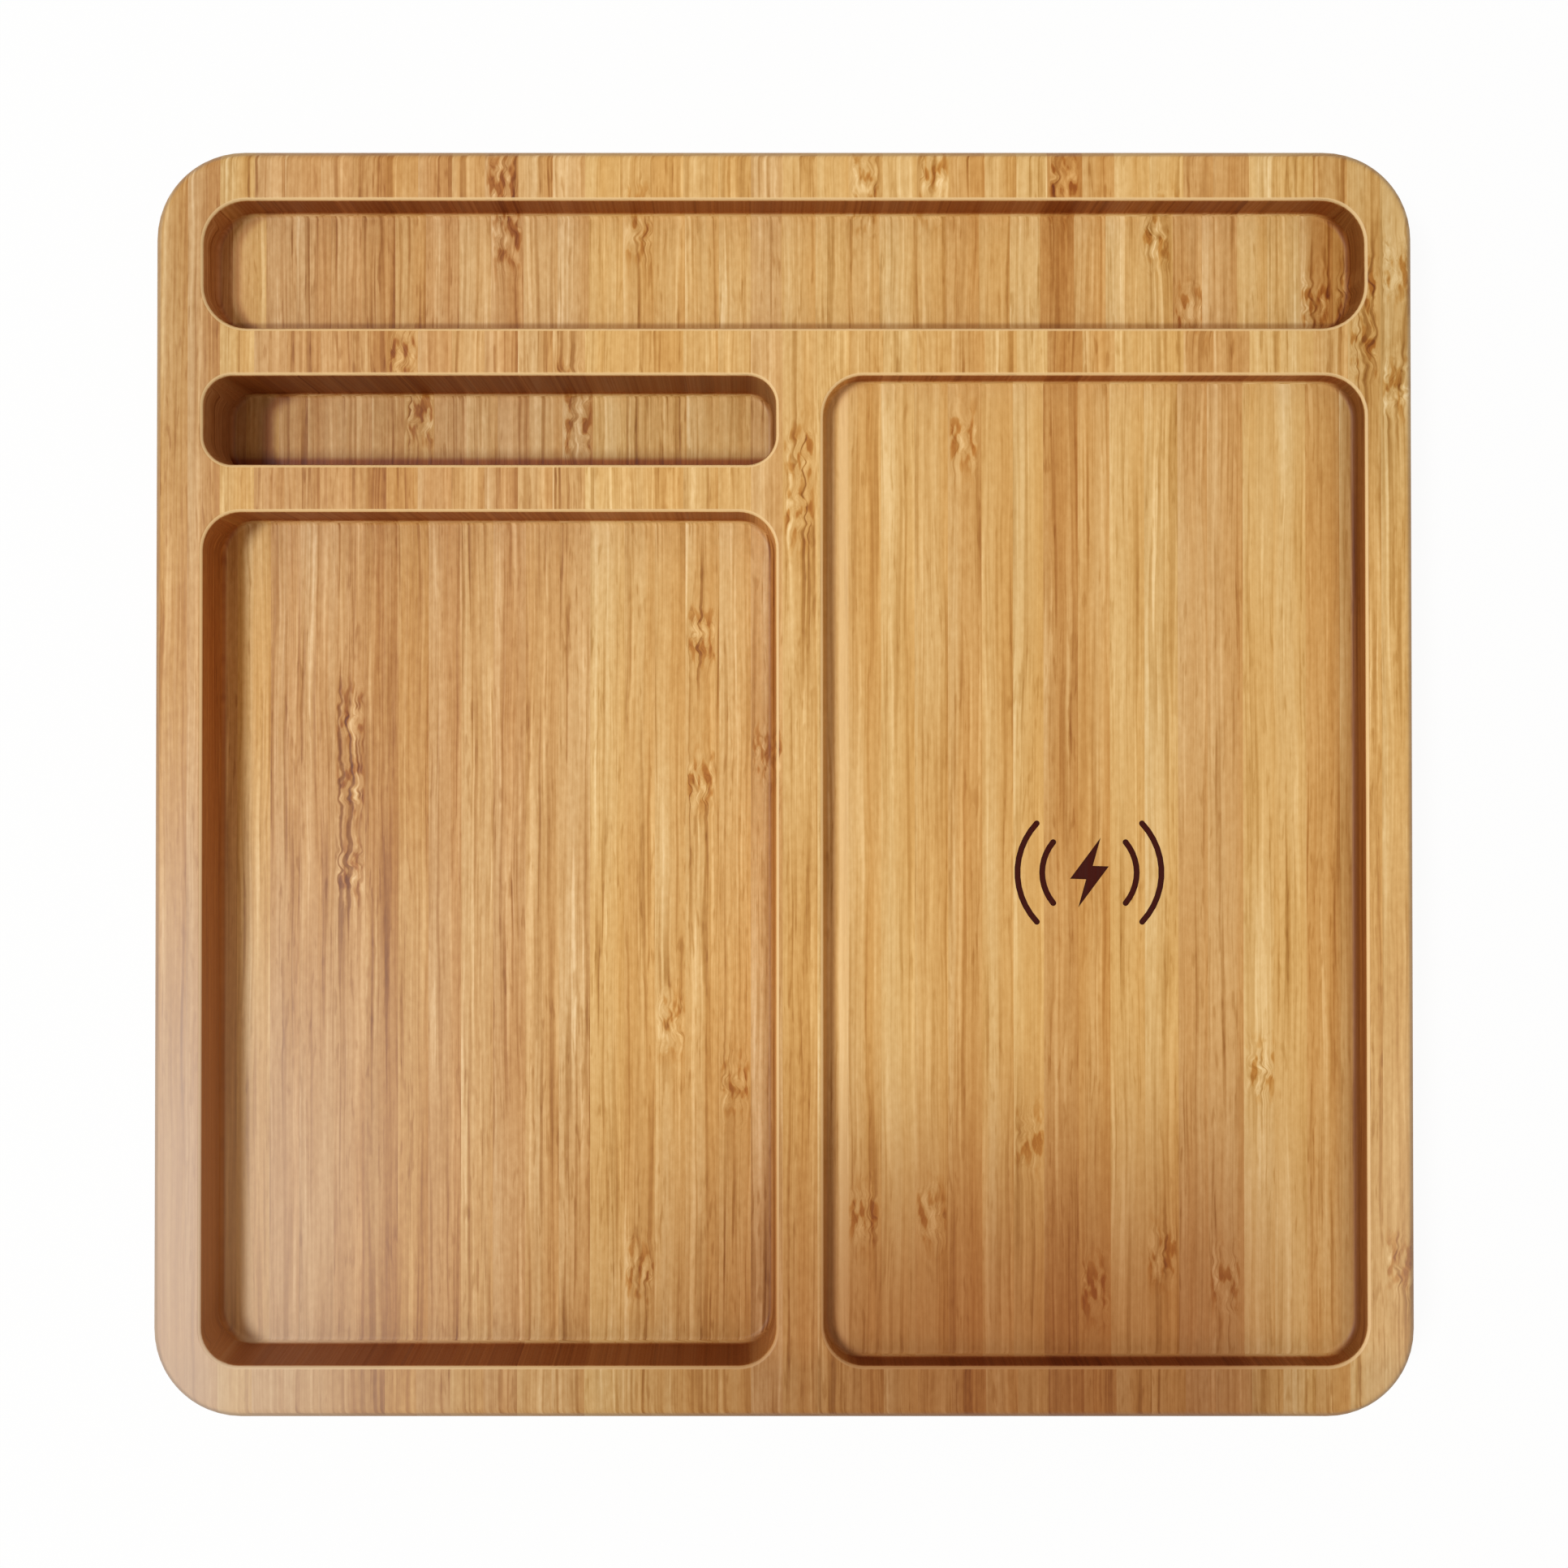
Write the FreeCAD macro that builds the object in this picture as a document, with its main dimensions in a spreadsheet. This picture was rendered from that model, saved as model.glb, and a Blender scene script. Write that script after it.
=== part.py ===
import FreeCAD, Part
import math
import operator
import os
from types import SimpleNamespace

import Sketcher
from FreeCAD import Placement, Rotation, Vector

# A square desk organizer milled from one glued bamboo board, with a wireless charger under its phone tray.
# Millimetres, +X right, +Y back, +Z up. The origin is on the desk, under the middle of the board.

DIMENSIONS = {
    # The board and the rims between its pockets
    "tray_width": 221.2,
    "tray_depth": 222.4,
    "tray_height": 20,
    "foot_stand": 2,
    "corner_radius": 15.5,
    "top_round": 2,
    "bottom_round": 1,
    "rim_side": 8.7,
    "rim_back": 9,
    "rim_front": 9.4,
    "divider": 8.5,
    "rim_round": 0.8,
    "floor_round": 1.2,
    # The four pockets: span is front to back, sink is how deep the cutter went
    "pen_span": 22.3,
    "pen_sink": 7.5,
    "pen_corner": 7.5,
    "left_column": 100.4,
    "slot_span": 15.5,
    "slot_sink": 16,
    "slot_corner": 5,
    "tray_sink": 11,
    "tray_corner": 6.5,
    "phone_sink": 4.5,
    "phone_corner": 7,
    # The engraved pictogram: a bolt between two pairs of arcs
    "icon_shift_left": 0.1,
    "icon_shift_front": 0.9,
    "icon_sink": 0.25,
    "icon_outer_arc": 12.8,
    "icon_inner_arc": 8.4,
    "icon_outer_spread": 43,
    "icon_inner_spread": 40,
    "icon_stroke": 1.05,
    "bolt_tip_side": 2,
    "bolt_tip_rise": 6.2,
    "bolt_wing_side": 3.45,
    "bolt_wing_rise": 1.1,
    "bolt_notch_side": 0.6,
    "bolt_notch_rise": 1.2,
    # The charger bay under the phone tray, and the plate that closes it
    "bay_width": 54,
    "bay_reach": 31.8,
    "bay_corner": 6,
    "back_wall": 4.5,
    "web_under_pen": 3.5,
    "web_under_phone": 3,
    "coil_bay_reach": 26.5,
    "coil_bay_run": 34,
    "cover_thickness": 2.2,
    "cover_ledge": 7,
    "cover_lap": 2,
    "cover_fit": 0.2,
    "cover_corner": 8,
    # Screws of the cover
    "screw_end_gap": 6,
    "screw_head": 5,
    "screw_shank": 2.2,
    "screw_length": 8.5,
    "screw_tip": 1.5,
    "screw_sunk": 0.1,
    "screw_hole": 2.8,
    "screw_sink": 5.3,
    "pilot_hole": 2.4,
    "pilot_reach": 7.1,
    "cross_width": 0.7,
    "cross_span": 2.8,
    "cross_sink": 0.9,
    # Feet
    "foot_diameter": 12,
    "foot_recess": 0.6,
    "foot_fit": 0.1,
    "foot_side": 99,
    "foot_end": 99.5,
    "foot_round": 0.5,
    # Circuit board, its posts and its screws
    "post_diameter": 5,
    "post_height": 1.8,
    "post_bore": 1.8,
    "post_bore_reach": 3,
    "board_width": 48,
    "board_span": 30,
    "board_thickness": 1,
    "board_corner": 3,
    "board_back_gap": 0.3,
    "board_screw_inset": 3,
    "board_screw_hole": 2.3,
    "board_screw_shank": 1.6,
    "board_screw_head": 3.6,
    "board_screw_head_height": 1.3,
    "board_screw_bevel": 0.4,
    "board_screw_length": 3.8,
    "board_cross_width": 0.5,
    "board_cross_span": 2,
    # Components on the board
    "controller_side": 5,
    "controller_height": 0.9,
    "bridge_width": 5,
    "bridge_span": 4,
    "bridge_height": 1.1,
    "capacitor_width": 3.2,
    "capacitor_span": 2.5,
    "capacitor_height": 1.8,
    "inductor_side": 7,
    "inductor_height": 3,
    "resistor_width": 1.6,
    "resistor_span": 0.8,
    "resistor_height": 0.5,
    # Power inlet
    "socket_width": 8.94,
    "socket_height": 3.26,
    "socket_length": 9.2,
    "socket_wall": 0.3,
    "socket_sunk": 1,
    "socket_flat": 0.1,
    "tongue_width": 6.69,
    "tongue_thickness": 0.7,
    "tongue_length": 4.45,
    "tongue_base": 2.2,
    "tongue_fit": 0.07,
    "contact_pitch": 0.5,
    "contact_width": 0.25,
    "contact_length": 3.6,
    "contact_thickness": 0.05,
    "bezel_width": 15.2,
    "bezel_height": 9.4,
    "bezel_flange": 0.9,
    "bezel_sunk": 0.1,
    "bezel_sleeve_width": 12.2,
    "bezel_sleeve_height": 6.4,
    "bezel_sleeve_length": 3.3,
    "bezel_corner": 2.2,
    "bezel_fit": 0.1,
    "bezel_slot_width": 9.2,
    "bezel_slot_height": 3.5,
    "bezel_edge": 0.35,
    # Charging light beside the inlet
    "light_side": 14,
    "light_rise": 2,
    "light_diameter": 2.4,
    "light_fit": 0.1,
    "light_collar": 3.4,
    "light_collar_thickness": 0.6,
    "light_sunk": 0.2,
    "led_gap": 0.2,
    "led_width": 3,
    "led_span": 1.6,
    "led_height": 2.6,
    # Coil, its shield and its padding
    "wire_diameter": 0.7,
    "wire_pitch": 1.25,
    "coil_outer": 21.9,
    "coil_top_gap": 0.6,
    "lead_start": 7,
    "lead_slope_run": 9,
    "lead_clearance": 2.7,
    "lead_bend": 2,
    "lead_landing": 9,
    "adhesive_thickness": 0.2,
    "adhesive_bore": 16,
    "shield_radius": 22.6,
    "shield_thickness": 1,
    "foam_side": 40,
    "foam_height": 7,
    "foam_corner": 4,
}
COIL_TURNS = 10
CONTACTS_IN_ROW = 12
TOUCH = 1e-4

doc = FreeCAD.newDocument("ChargingOrganizer")
sheet = doc.addObject("Spreadsheet::Sheet", "Dimensions")
for row, (name, number) in enumerate(DIMENSIONS.items(), start=1):
    sheet.set(f"A{row}", name)
    sheet.set(f"B{row}", str(number))
    sheet.setAlias(f"B{row}", name)
doc.recompute()

sub_parts = []


class Size:
    """A number of the sheet, or one worked out from several, with the expression that gives it."""

    signs = {"+": operator.add, "-": operator.sub, "*": operator.mul, "/": operator.truediv}

    def __init__(self, number, text=None):
        self.number = number
        self.text = text or str(number)

    def joined(self, sign, other, other_first=False):
        other = other if isinstance(other, Size) else Size(other)
        first, second = (other, self) if other_first else (self, other)
        number = self.signs[sign](first.number, second.number)
        return Size(number, f"({first.text} {sign} {second.text})")

    def __add__(self, other):
        return self.joined("+", other)

    def __radd__(self, other):
        return self.joined("+", other, other_first=True)

    def __sub__(self, other):
        return self.joined("-", other)

    def __rsub__(self, other):
        return self.joined("-", other, other_first=True)

    def __mul__(self, other):
        return self.joined("*", other)

    def __rmul__(self, other):
        return self.joined("*", other, other_first=True)

    def __truediv__(self, other):
        return self.joined("/", other)


ZERO = Size(0)
size = SimpleNamespace(
    **{name: Size(getattr(sheet, name), f"Dimensions.{name}") for name in DIMENSIONS}
)

# Places that follow from the driving dimensions
top = size.foot_stand + size.tray_height
back = size.tray_depth / 2
left_edge = size.rim_side - size.tray_width / 2
right_edge = size.tray_width / 2 - size.rim_side
front_edge = size.rim_front - back
pen_y = back - size.rim_back - size.pen_span / 2
row_back = back - size.rim_back - size.pen_span - size.divider
tray_back = row_back - size.slot_span - size.divider
left_middle = left_edge + size.left_column / 2
phone_left = left_edge + size.left_column + size.divider
phone_x = (phone_left + right_edge) / 2
phone_y = (front_edge + row_back) / 2
phone_floor = top - size.phone_sink
bay_front = phone_y - size.bay_reach
bay_back = back - size.back_wall
bay_ceiling = top - size.pen_sink - size.web_under_pen
coil_ceiling = phone_floor - size.web_under_phone
cover_top = size.foot_stand + size.cover_thickness
cover_front = bay_front - size.cover_ledge
cover_back = bay_back + size.cover_lap
cover_width = size.bay_width + 2 * size.cover_ledge
screw_side = (size.bay_width + size.cover_ledge) / 2
screw_rows = [bay_front + size.screw_end_gap, (bay_front + bay_back) / 2, bay_back - size.screw_end_gap]
board_bottom = cover_top + size.post_height
board_top = board_bottom + size.board_thickness
board_back = bay_back - size.board_back_gap
board_front = board_back - size.board_span
board_y = (board_front + board_back) / 2
board_screw_side = size.board_width / 2 - size.board_screw_inset
board_screw_rows = [board_front + size.board_screw_inset, board_back - size.board_screw_inset]
port_z = board_top + size.socket_height / 2
socket_mouth = back - size.socket_sunk
socket_floor = socket_mouth - size.socket_length + size.socket_wall
light_x = phone_x + size.light_side
light_z = board_top + size.light_rise


def bind(item, target, amount):
    """Let a property of an object follow the sheet."""
    item.setExpression(target, amount.text)


def place(item, x, y, z):
    """Bind where an object stands."""
    for axis, amount in zip("xyz", (x, y, z)):
        bind(item, f"Placement.Base.{axis}", amount)


def object_name(label):
    """The name of the document's object for a piece's label."""
    return label.title().replace("_", "")


def new_body(label):
    """An empty body whose label names the piece."""
    body = doc.addObject("PartDesign::Body", object_name(label))
    body.Label = label
    return body


def origin_feature(body, role):
    """One of the body's own planes or axes."""
    return next(item for item in body.Origin.OriginFeatures if item.Role == role)


def attached_sketch(body, name, plane, offset):
    """A sketch on one of the body's planes, moved by an offset in the plane's own axes."""
    sketch = body.newObject("Sketcher::SketchObject", f"{body.Name}{name}")
    sketch.AttachmentSupport = [(origin_feature(body, plane), "")]
    sketch.MapMode = "FlatFace"
    for axis, amount in zip("xyz", offset):
        bind(sketch, f"AttachmentOffset.Base.{axis}", amount)
    return sketch


def level_sketch(body, name, x, y, z):
    """A horizontal sketch with its own origin at x, y, z."""
    return attached_sketch(body, name, "XY_Plane", (x, y, z))


def upright_sketch(body, name, x, y, z):
    """A sketch that faces the front, with its own origin at x, y, z."""
    return attached_sketch(body, name, "XZ_Plane", (x, z, 0 - y))


def drive(sketch, name, amount, kind, *where):
    """Add a dimension to a sketch and bind it."""
    index = sketch.addConstraint(Sketcher.Constraint(kind, *where, amount.number))
    sketch.renameConstraint(index, name)
    bind(sketch, f"Constraints.{name}", amount)


def rounded_rectangle(sketch, width, depth, radius):
    """Four sides and four round corners, centred on the sketch's origin."""
    across = width.number / 2
    along = depth.number / 2
    round_reach = radius.number
    flat_x = across - round_reach
    flat_y = along - round_reach
    sides = [
        (Vector(-flat_x, -along), Vector(flat_x, -along)),
        (Vector(across, -flat_y), Vector(across, flat_y)),
        (Vector(flat_x, along), Vector(-flat_x, along)),
        (Vector(-across, flat_y), Vector(-across, -flat_y)),
    ]
    corners = [
        Vector(flat_x, -flat_y),
        Vector(flat_x, flat_y),
        Vector(-flat_x, flat_y),
        Vector(-flat_x, -flat_y),
    ]
    for start, end in sides:
        sketch.addGeometry(Part.LineSegment(start, end), False)
    for quarter, centre in enumerate(corners):
        circle = Part.Circle(centre, Vector(0, 0, 1), round_reach)
        first_angle = (quarter - 1) * math.pi / 2
        sketch.addGeometry(Part.ArcOfCircle(circle, first_angle, first_angle + math.pi / 2), False)
    for side in range(4):
        sketch.addConstraint(Sketcher.Constraint("Tangent", side, 2, side + 4, 1))
        sketch.addConstraint(Sketcher.Constraint("Tangent", side + 4, 2, (side + 1) % 4, 1))
        sketch.addConstraint(Sketcher.Constraint("Vertical" if side % 2 else "Horizontal", side))
    for corner in (5, 6, 7):
        sketch.addConstraint(Sketcher.Constraint("Equal", 4, corner))
    sketch.addConstraint(Sketcher.Constraint("Symmetric", 4, 3, 6, 3, -1, 1))
    drive(sketch, "across", width, "DistanceX", 3, 1, 1, 1)
    drive(sketch, "along", depth, "DistanceY", 0, 1, 2, 1)
    drive(sketch, "corner", radius, "Radius", 4)


def circles(sketch, diameter, centres=None):
    """Equal circles at the given places of the sketch, or one at its origin."""
    for number, (x, y) in enumerate(centres or [(ZERO, ZERO)]):
        circle = Part.Circle(Vector(x.number, y.number), Vector(0, 0, 1), diameter.number / 2)
        index = sketch.addGeometry(circle, False)
        drive(sketch, f"diameter_{number}", diameter, "Diameter", index)
        if centres:
            drive(sketch, f"side_{number}", x, "DistanceX", -1, 1, index, 3)
            drive(sketch, f"end_{number}", y, "DistanceY", -1, 1, index, 3)
        else:
            sketch.addConstraint(Sketcher.Constraint("Coincident", index, 3, -1, 1))


def pad(body, sketch, length, reverse=False):
    """Material added on a sketch: upwards or to the front, or the other way when reversed."""
    feature = body.newObject("PartDesign::Pad", f"{sketch.Name}Pad")
    feature.Profile = sketch
    feature.Reversed = reverse
    bind(feature, "Length", length)
    doc.recompute()
    return feature


def cut(body, sketch, length, reverse=False):
    """Material cut away: downwards or to the back, or the other way when reversed."""
    whole = body.Shape.Volume
    feature = body.newObject("PartDesign::Pocket", f"{sketch.Name}Cut")
    feature.Profile = sketch
    feature.Reversed = reverse
    bind(feature, "Length", length)
    doc.recompute()
    if body.Shape.Volume > whole - TOUCH:
        raise RuntimeError(f"{sketch.Name} cuts nothing")
    return feature


def level_edges(shape, level, side_limit=math.inf):
    """Names of the edges that lie flat at a height, no further than a limit from the middle."""
    names = []
    for number, edge in enumerate(shape.Edges, start=1):
        box = edge.BoundBox
        flat = abs(box.ZMin - level.number) < TOUCH and abs(box.ZMax - level.number) < TOUCH
        if flat and max(-box.XMin, box.XMax) < side_limit:
            names.append(f"Edge{number}")
    return names


def fillet(body, base, edges, radius):
    """Round the named edges of the body's last feature."""
    feature = body.newObject("PartDesign::Fillet", f"{base.Name}Round")
    feature.Base = (base, edges)
    bind(feature, "Radius", radius)
    doc.recompute()
    return feature


def pairs(side, rows):
    """Places left and right of a middle line, in each row."""
    return [(sign * side, row) for sign in (-1, 1) for row in rows]


def group(label, pieces):
    """Separate solids that share one name."""
    compound = doc.addObject("Part::Compound", object_name(label))
    compound.Label = label
    compound.Links = pieces
    sub_parts.append(compound)


def copies(body, label, places, turned=False):
    """The same piece at several places, upside down when turned, as one group."""
    links = []
    for number, (x, y, z) in enumerate(places):
        link = doc.addObject("App::Link", f"{body.Name}Copy{number}")
        link.LinkedObject = body
        if turned:
            link.Placement = Placement(Vector(), Rotation(Vector(1, 0, 0), 180))
        place(link, x, y, z)
        links.append(link)
    group(label, links)


def block(label, sides, x, y, z):
    """A box of three sides that stands on z, centred on x and y."""
    box = doc.addObject("Part::Box", object_name(label))
    box.Label = label
    for side_name, amount in zip(("Length", "Width", "Height"), sides):
        bind(box, side_name, amount)
    place(box, x - sides[0] / 2, y - sides[1] / 2, z)
    return box


# Bamboo board: a rounded square, milled from above for the pockets and from below for the charger


def arc_stroke(sketch, label, radius, spread, side):
    """A round-ended stroke along an arc about the sketch's origin, to the right or to the left."""
    reach = radius.number
    half = size.icon_stroke.number / 2
    middle = 0.0 if side > 0 else math.pi
    turn = math.radians(spread.number)
    axis = Vector(0, 0, 1)
    end = Vector(math.cos(middle + turn), math.sin(middle + turn)) * reach
    start = Vector(math.cos(middle - turn), math.sin(middle - turn)) * reach
    first = len(sketch.Geometry)
    outer, inner, end_cap, start_cap, end_ray, start_ray = range(first, first + 6)
    for line in (reach + half, reach - half):
        circle = Part.Circle(Vector(), axis, line)
        sketch.addGeometry(Part.ArcOfCircle(circle, middle - turn, middle + turn), False)
    end_circle = Part.Circle(end, axis, half)
    sketch.addGeometry(Part.ArcOfCircle(end_circle, middle + turn, middle + turn + math.pi), False)
    start_circle = Part.Circle(start, axis, half)
    sketch.addGeometry(Part.ArcOfCircle(start_circle, middle - turn + math.pi, middle - turn), False)
    for tip in (end, start):
        sketch.addGeometry(Part.LineSegment(Vector(), tip), True)
    for arc in (outer, inner):
        sketch.addConstraint(Sketcher.Constraint("Coincident", arc, 3, -1, 1))
    for ray, cap in ((end_ray, end_cap), (start_ray, start_cap)):
        sketch.addConstraint(Sketcher.Constraint("Coincident", ray, 1, -1, 1))
        sketch.addConstraint(Sketcher.Constraint("Coincident", ray, 2, cap, 3))
    sketch.addConstraint(Sketcher.Constraint("Tangent", outer, 2, end_cap, 1))
    sketch.addConstraint(Sketcher.Constraint("Tangent", end_cap, 2, inner, 2))
    sketch.addConstraint(Sketcher.Constraint("Tangent", inner, 1, start_cap, 1))
    sketch.addConstraint(Sketcher.Constraint("Tangent", start_cap, 2, outer, 1))
    sketch.addConstraint(Sketcher.Constraint("Vertical", end_cap, 3, start_cap, 3))
    drive(sketch, f"{label}_outside", radius + size.icon_stroke / 2, "Radius", outer)
    drive(sketch, f"{label}_inside", radius - size.icon_stroke / 2, "Radius", inner)
    angle = sketch.addConstraint(Sketcher.Constraint("Angle", start_ray, 1, end_ray, 1, 2 * turn))
    sketch.renameConstraint(angle, f"{label}_spread")
    bind(sketch, f"Constraints.{label}_spread", 2 * spread)


def bolt_outline(sketch):
    """A lightning bolt of six points that looks the same turned half round."""
    tip = (size.bolt_tip_side, size.bolt_tip_rise)
    wing = (size.bolt_wing_side, size.bolt_wing_rise)
    notch = (size.bolt_notch_side, size.bolt_notch_rise)
    route = [(tip, 1), (wing, -1), (notch, -1), (tip, -1), (wing, 1), (notch, 1)]
    points = [Vector(sign * x.number, sign * y.number) for (x, y), sign in route]
    first = len(sketch.Geometry)
    lines = range(first, first + 6)
    for number, point in enumerate(points):
        sketch.addGeometry(Part.LineSegment(point, points[(number + 1) % 6]), False)
    for number, line in enumerate(lines):
        sketch.addConstraint(Sketcher.Constraint("Coincident", line, 2, lines[(number + 1) % 6], 1))
    for line in lines[:3]:
        sketch.addConstraint(Sketcher.Constraint("Symmetric", line, 1, line + 3, 1, -1, 1))
    for line, ((x, y), sign) in zip(lines[3:], route[3:]):
        drive(sketch, f"bolt_side_{line}", sign * x, "DistanceX", -1, 1, line, 1)
        drive(sketch, f"bolt_rise_{line}", sign * y, "DistanceY", -1, 1, line, 1)


tray = new_body("bamboo_tray")
outline = level_sketch(tray, "Outline", ZERO, ZERO, size.foot_stand)
rounded_rectangle(outline, size.tray_width, size.tray_depth, size.corner_radius)
board = pad(tray, outline, size.tray_height)
rounded_board = fillet(tray, board, level_edges(tray.Shape, top), size.top_round)
fillet(tray, rounded_board, level_edges(tray.Shape, size.foot_stand), size.bottom_round)

pen_mouth = level_sketch(tray, "PenMouth", ZERO, pen_y, top)
rounded_rectangle(pen_mouth, right_edge - left_edge, size.pen_span, size.pen_corner)
cut(tray, pen_mouth, size.pen_sink)
slot_mouth = level_sketch(tray, "SlotMouth", left_middle, row_back - size.slot_span / 2, top)
rounded_rectangle(slot_mouth, size.left_column, size.slot_span, size.slot_corner)
cut(tray, slot_mouth, size.slot_sink)
tray_mouth = level_sketch(tray, "TrayMouth", left_middle, (front_edge + tray_back) / 2, top)
rounded_rectangle(tray_mouth, size.left_column, tray_back - front_edge, size.tray_corner)
cut(tray, tray_mouth, size.tray_sink)
phone_mouth = level_sketch(tray, "PhoneMouth", phone_x, phone_y, top)
rounded_rectangle(phone_mouth, right_edge - phone_left, row_back - front_edge, size.phone_corner)
milled = cut(tray, phone_mouth, size.phone_sink)
inner_limit = size.tray_width.number / 2 - size.top_round.number - TOUCH
rims = fillet(tray, milled, level_edges(tray.Shape, top, inner_limit), size.rim_round)
floor_edges = []
for sink in (size.pen_sink, size.slot_sink, size.tray_sink, size.phone_sink):
    floor_edges += level_edges(tray.Shape, top - sink)
fillet(tray, rims, floor_edges, size.floor_round)

icon_x = phone_x - size.icon_shift_left
icon_y = phone_y - size.icon_shift_front
icon = level_sketch(tray, "Icon", icon_x, icon_y, phone_floor)
for side_name, side in (("right", 1), ("left", -1)):
    arc_stroke(icon, f"outer_{side_name}", size.icon_outer_arc, size.icon_outer_spread, side)
    arc_stroke(icon, f"inner_{side_name}", size.icon_inner_arc, size.icon_inner_spread, side)
bolt_outline(icon)
cut(tray, icon, size.icon_sink)

bay = level_sketch(tray, "Bay", phone_x, (bay_front + bay_back) / 2, size.foot_stand)
rounded_rectangle(bay, size.bay_width, bay_back - bay_front, size.bay_corner)
cut(tray, bay, bay_ceiling - size.foot_stand, reverse=True)
coil_bay_y = phone_y + (size.coil_bay_run - size.coil_bay_reach) / 2
coil_bay = level_sketch(tray, "CoilBay", phone_x, coil_bay_y, size.foot_stand)
rounded_rectangle(
    coil_bay, 2 * size.coil_bay_reach, size.coil_bay_reach + size.coil_bay_run, size.bay_corner
)
cut(tray, coil_bay, coil_ceiling - size.foot_stand, reverse=True)
rebate = level_sketch(tray, "Rebate", phone_x, (cover_front + cover_back) / 2, size.foot_stand)
rounded_rectangle(rebate, cover_width, cover_back - cover_front, size.cover_corner)
cut(tray, rebate, size.cover_thickness, reverse=True)
pilots = level_sketch(tray, "Pilots", phone_x, ZERO, cover_top)
circles(pilots, size.pilot_hole, pairs(screw_side, screw_rows))
cut(tray, pilots, size.pilot_reach, reverse=True)
foot_seats = level_sketch(tray, "FootSeats", ZERO, ZERO, size.foot_stand)
foot_places = pairs(size.foot_side, [-1 * size.foot_end, size.foot_end])
circles(foot_seats, size.foot_diameter + 2 * size.foot_fit, foot_places)
cut(tray, foot_seats, size.foot_recess, reverse=True)

flange_seat = upright_sketch(tray, "FlangeSeat", phone_x, back, port_z)
rounded_rectangle(
    flange_seat,
    size.bezel_width + 2 * size.bezel_fit,
    size.bezel_height + 2 * size.bezel_fit,
    size.bezel_corner + size.bezel_fit,
)
cut(tray, flange_seat, size.bezel_flange + size.bezel_sunk, reverse=True)
sleeve_hole = upright_sketch(tray, "SleeveHole", phone_x, back, port_z)
rounded_rectangle(
    sleeve_hole,
    size.bezel_sleeve_width + 2 * size.bezel_fit,
    size.bezel_sleeve_height + 2 * size.bezel_fit,
    size.bezel_corner + size.bezel_fit,
)
cut(tray, sleeve_hole, size.back_wall, reverse=True)
light_hole = upright_sketch(tray, "LightHole", light_x, back, light_z)
circles(light_hole, size.light_diameter + 2 * size.light_fit)
cut(tray, light_hole, size.back_wall, reverse=True)
sub_parts.append(tray)

# Cover: a moulded plate let flush into the underside, with the posts that carry the circuit board
cover = new_body("base_cover")
plate = level_sketch(cover, "Plate", phone_x, (cover_front + cover_back) / 2, size.foot_stand)
rounded_rectangle(
    plate,
    cover_width - 2 * size.cover_fit,
    cover_back - cover_front - 2 * size.cover_fit,
    size.cover_corner - size.cover_fit,
)
pad(cover, plate, size.cover_thickness)
posts = level_sketch(cover, "Posts", phone_x, ZERO, cover_top)
circles(posts, size.post_diameter, pairs(board_screw_side, board_screw_rows))
pad(cover, posts, size.post_height)
post_bores = level_sketch(cover, "PostBores", phone_x, ZERO, board_bottom)
circles(post_bores, size.post_bore, pairs(board_screw_side, board_screw_rows))
cut(cover, post_bores, size.post_bore_reach)
screw_places = level_sketch(cover, "ScrewPlaces", phone_x, ZERO, size.foot_stand)
circles(screw_places, size.screw_hole, pairs(screw_side, screw_rows))
doc.recompute()
undrilled = cover.Shape.Volume
screw_holes = cover.newObject("PartDesign::Hole", "ScrewHoles")
screw_holes.Profile = screw_places
screw_holes.Reversed = True
screw_holes.DepthType = "ThroughAll"
screw_holes.HoleCutType = "Countersink"
screw_holes.HoleCutCustomValues = True
screw_holes.HoleCutCountersinkAngle = 90
bind(screw_holes, "Diameter", size.screw_hole)
bind(screw_holes, "HoleCutDiameter", size.screw_sink)
doc.recompute()
if cover.Shape.Volume > undrilled - TOUCH:
    raise RuntimeError("the cover's screw holes cut nothing")
sub_parts.append(cover)

# Screws: turned about +Z from the head's face at the origin, with a cross recess


def screw(label, profile, cross_span, cross_width):
    """A turned screw. Its profile is radius and height, from the axis at the head to the axis at the tip."""
    body = new_body(label)
    half = upright_sketch(body, "Profile", ZERO, ZERO, ZERO)
    points = [Vector(radius.number, height.number) for radius, height in profile]
    count = len(points)
    for number, point in enumerate(points):
        half.addGeometry(Part.LineSegment(point, points[(number + 1) % count]), False)
    for number, (radius, height) in enumerate(profile):
        half.addConstraint(Sketcher.Constraint("Coincident", number, 2, (number + 1) % count, 1))
        drive(half, f"radius_{number}", radius, "DistanceX", -1, 1, number, 1)
        drive(half, f"height_{number}", height, "DistanceY", -1, 1, number, 1)
    turned = body.newObject("PartDesign::Revolution", f"{body.Name}Turned")
    turned.Profile = half
    turned.ReferenceAxis = (origin_feature(body, "Z_Axis"), [""])
    doc.recompute()
    for name, width, depth in (("Along", cross_width, cross_span), ("Across", cross_span, cross_width)):
        arm = level_sketch(body, name, ZERO, ZERO, ZERO)
        rounded_rectangle(arm, width, depth, cross_width / 4)
        cut(body, arm, size.cross_sink, reverse=True)
    return body


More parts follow.
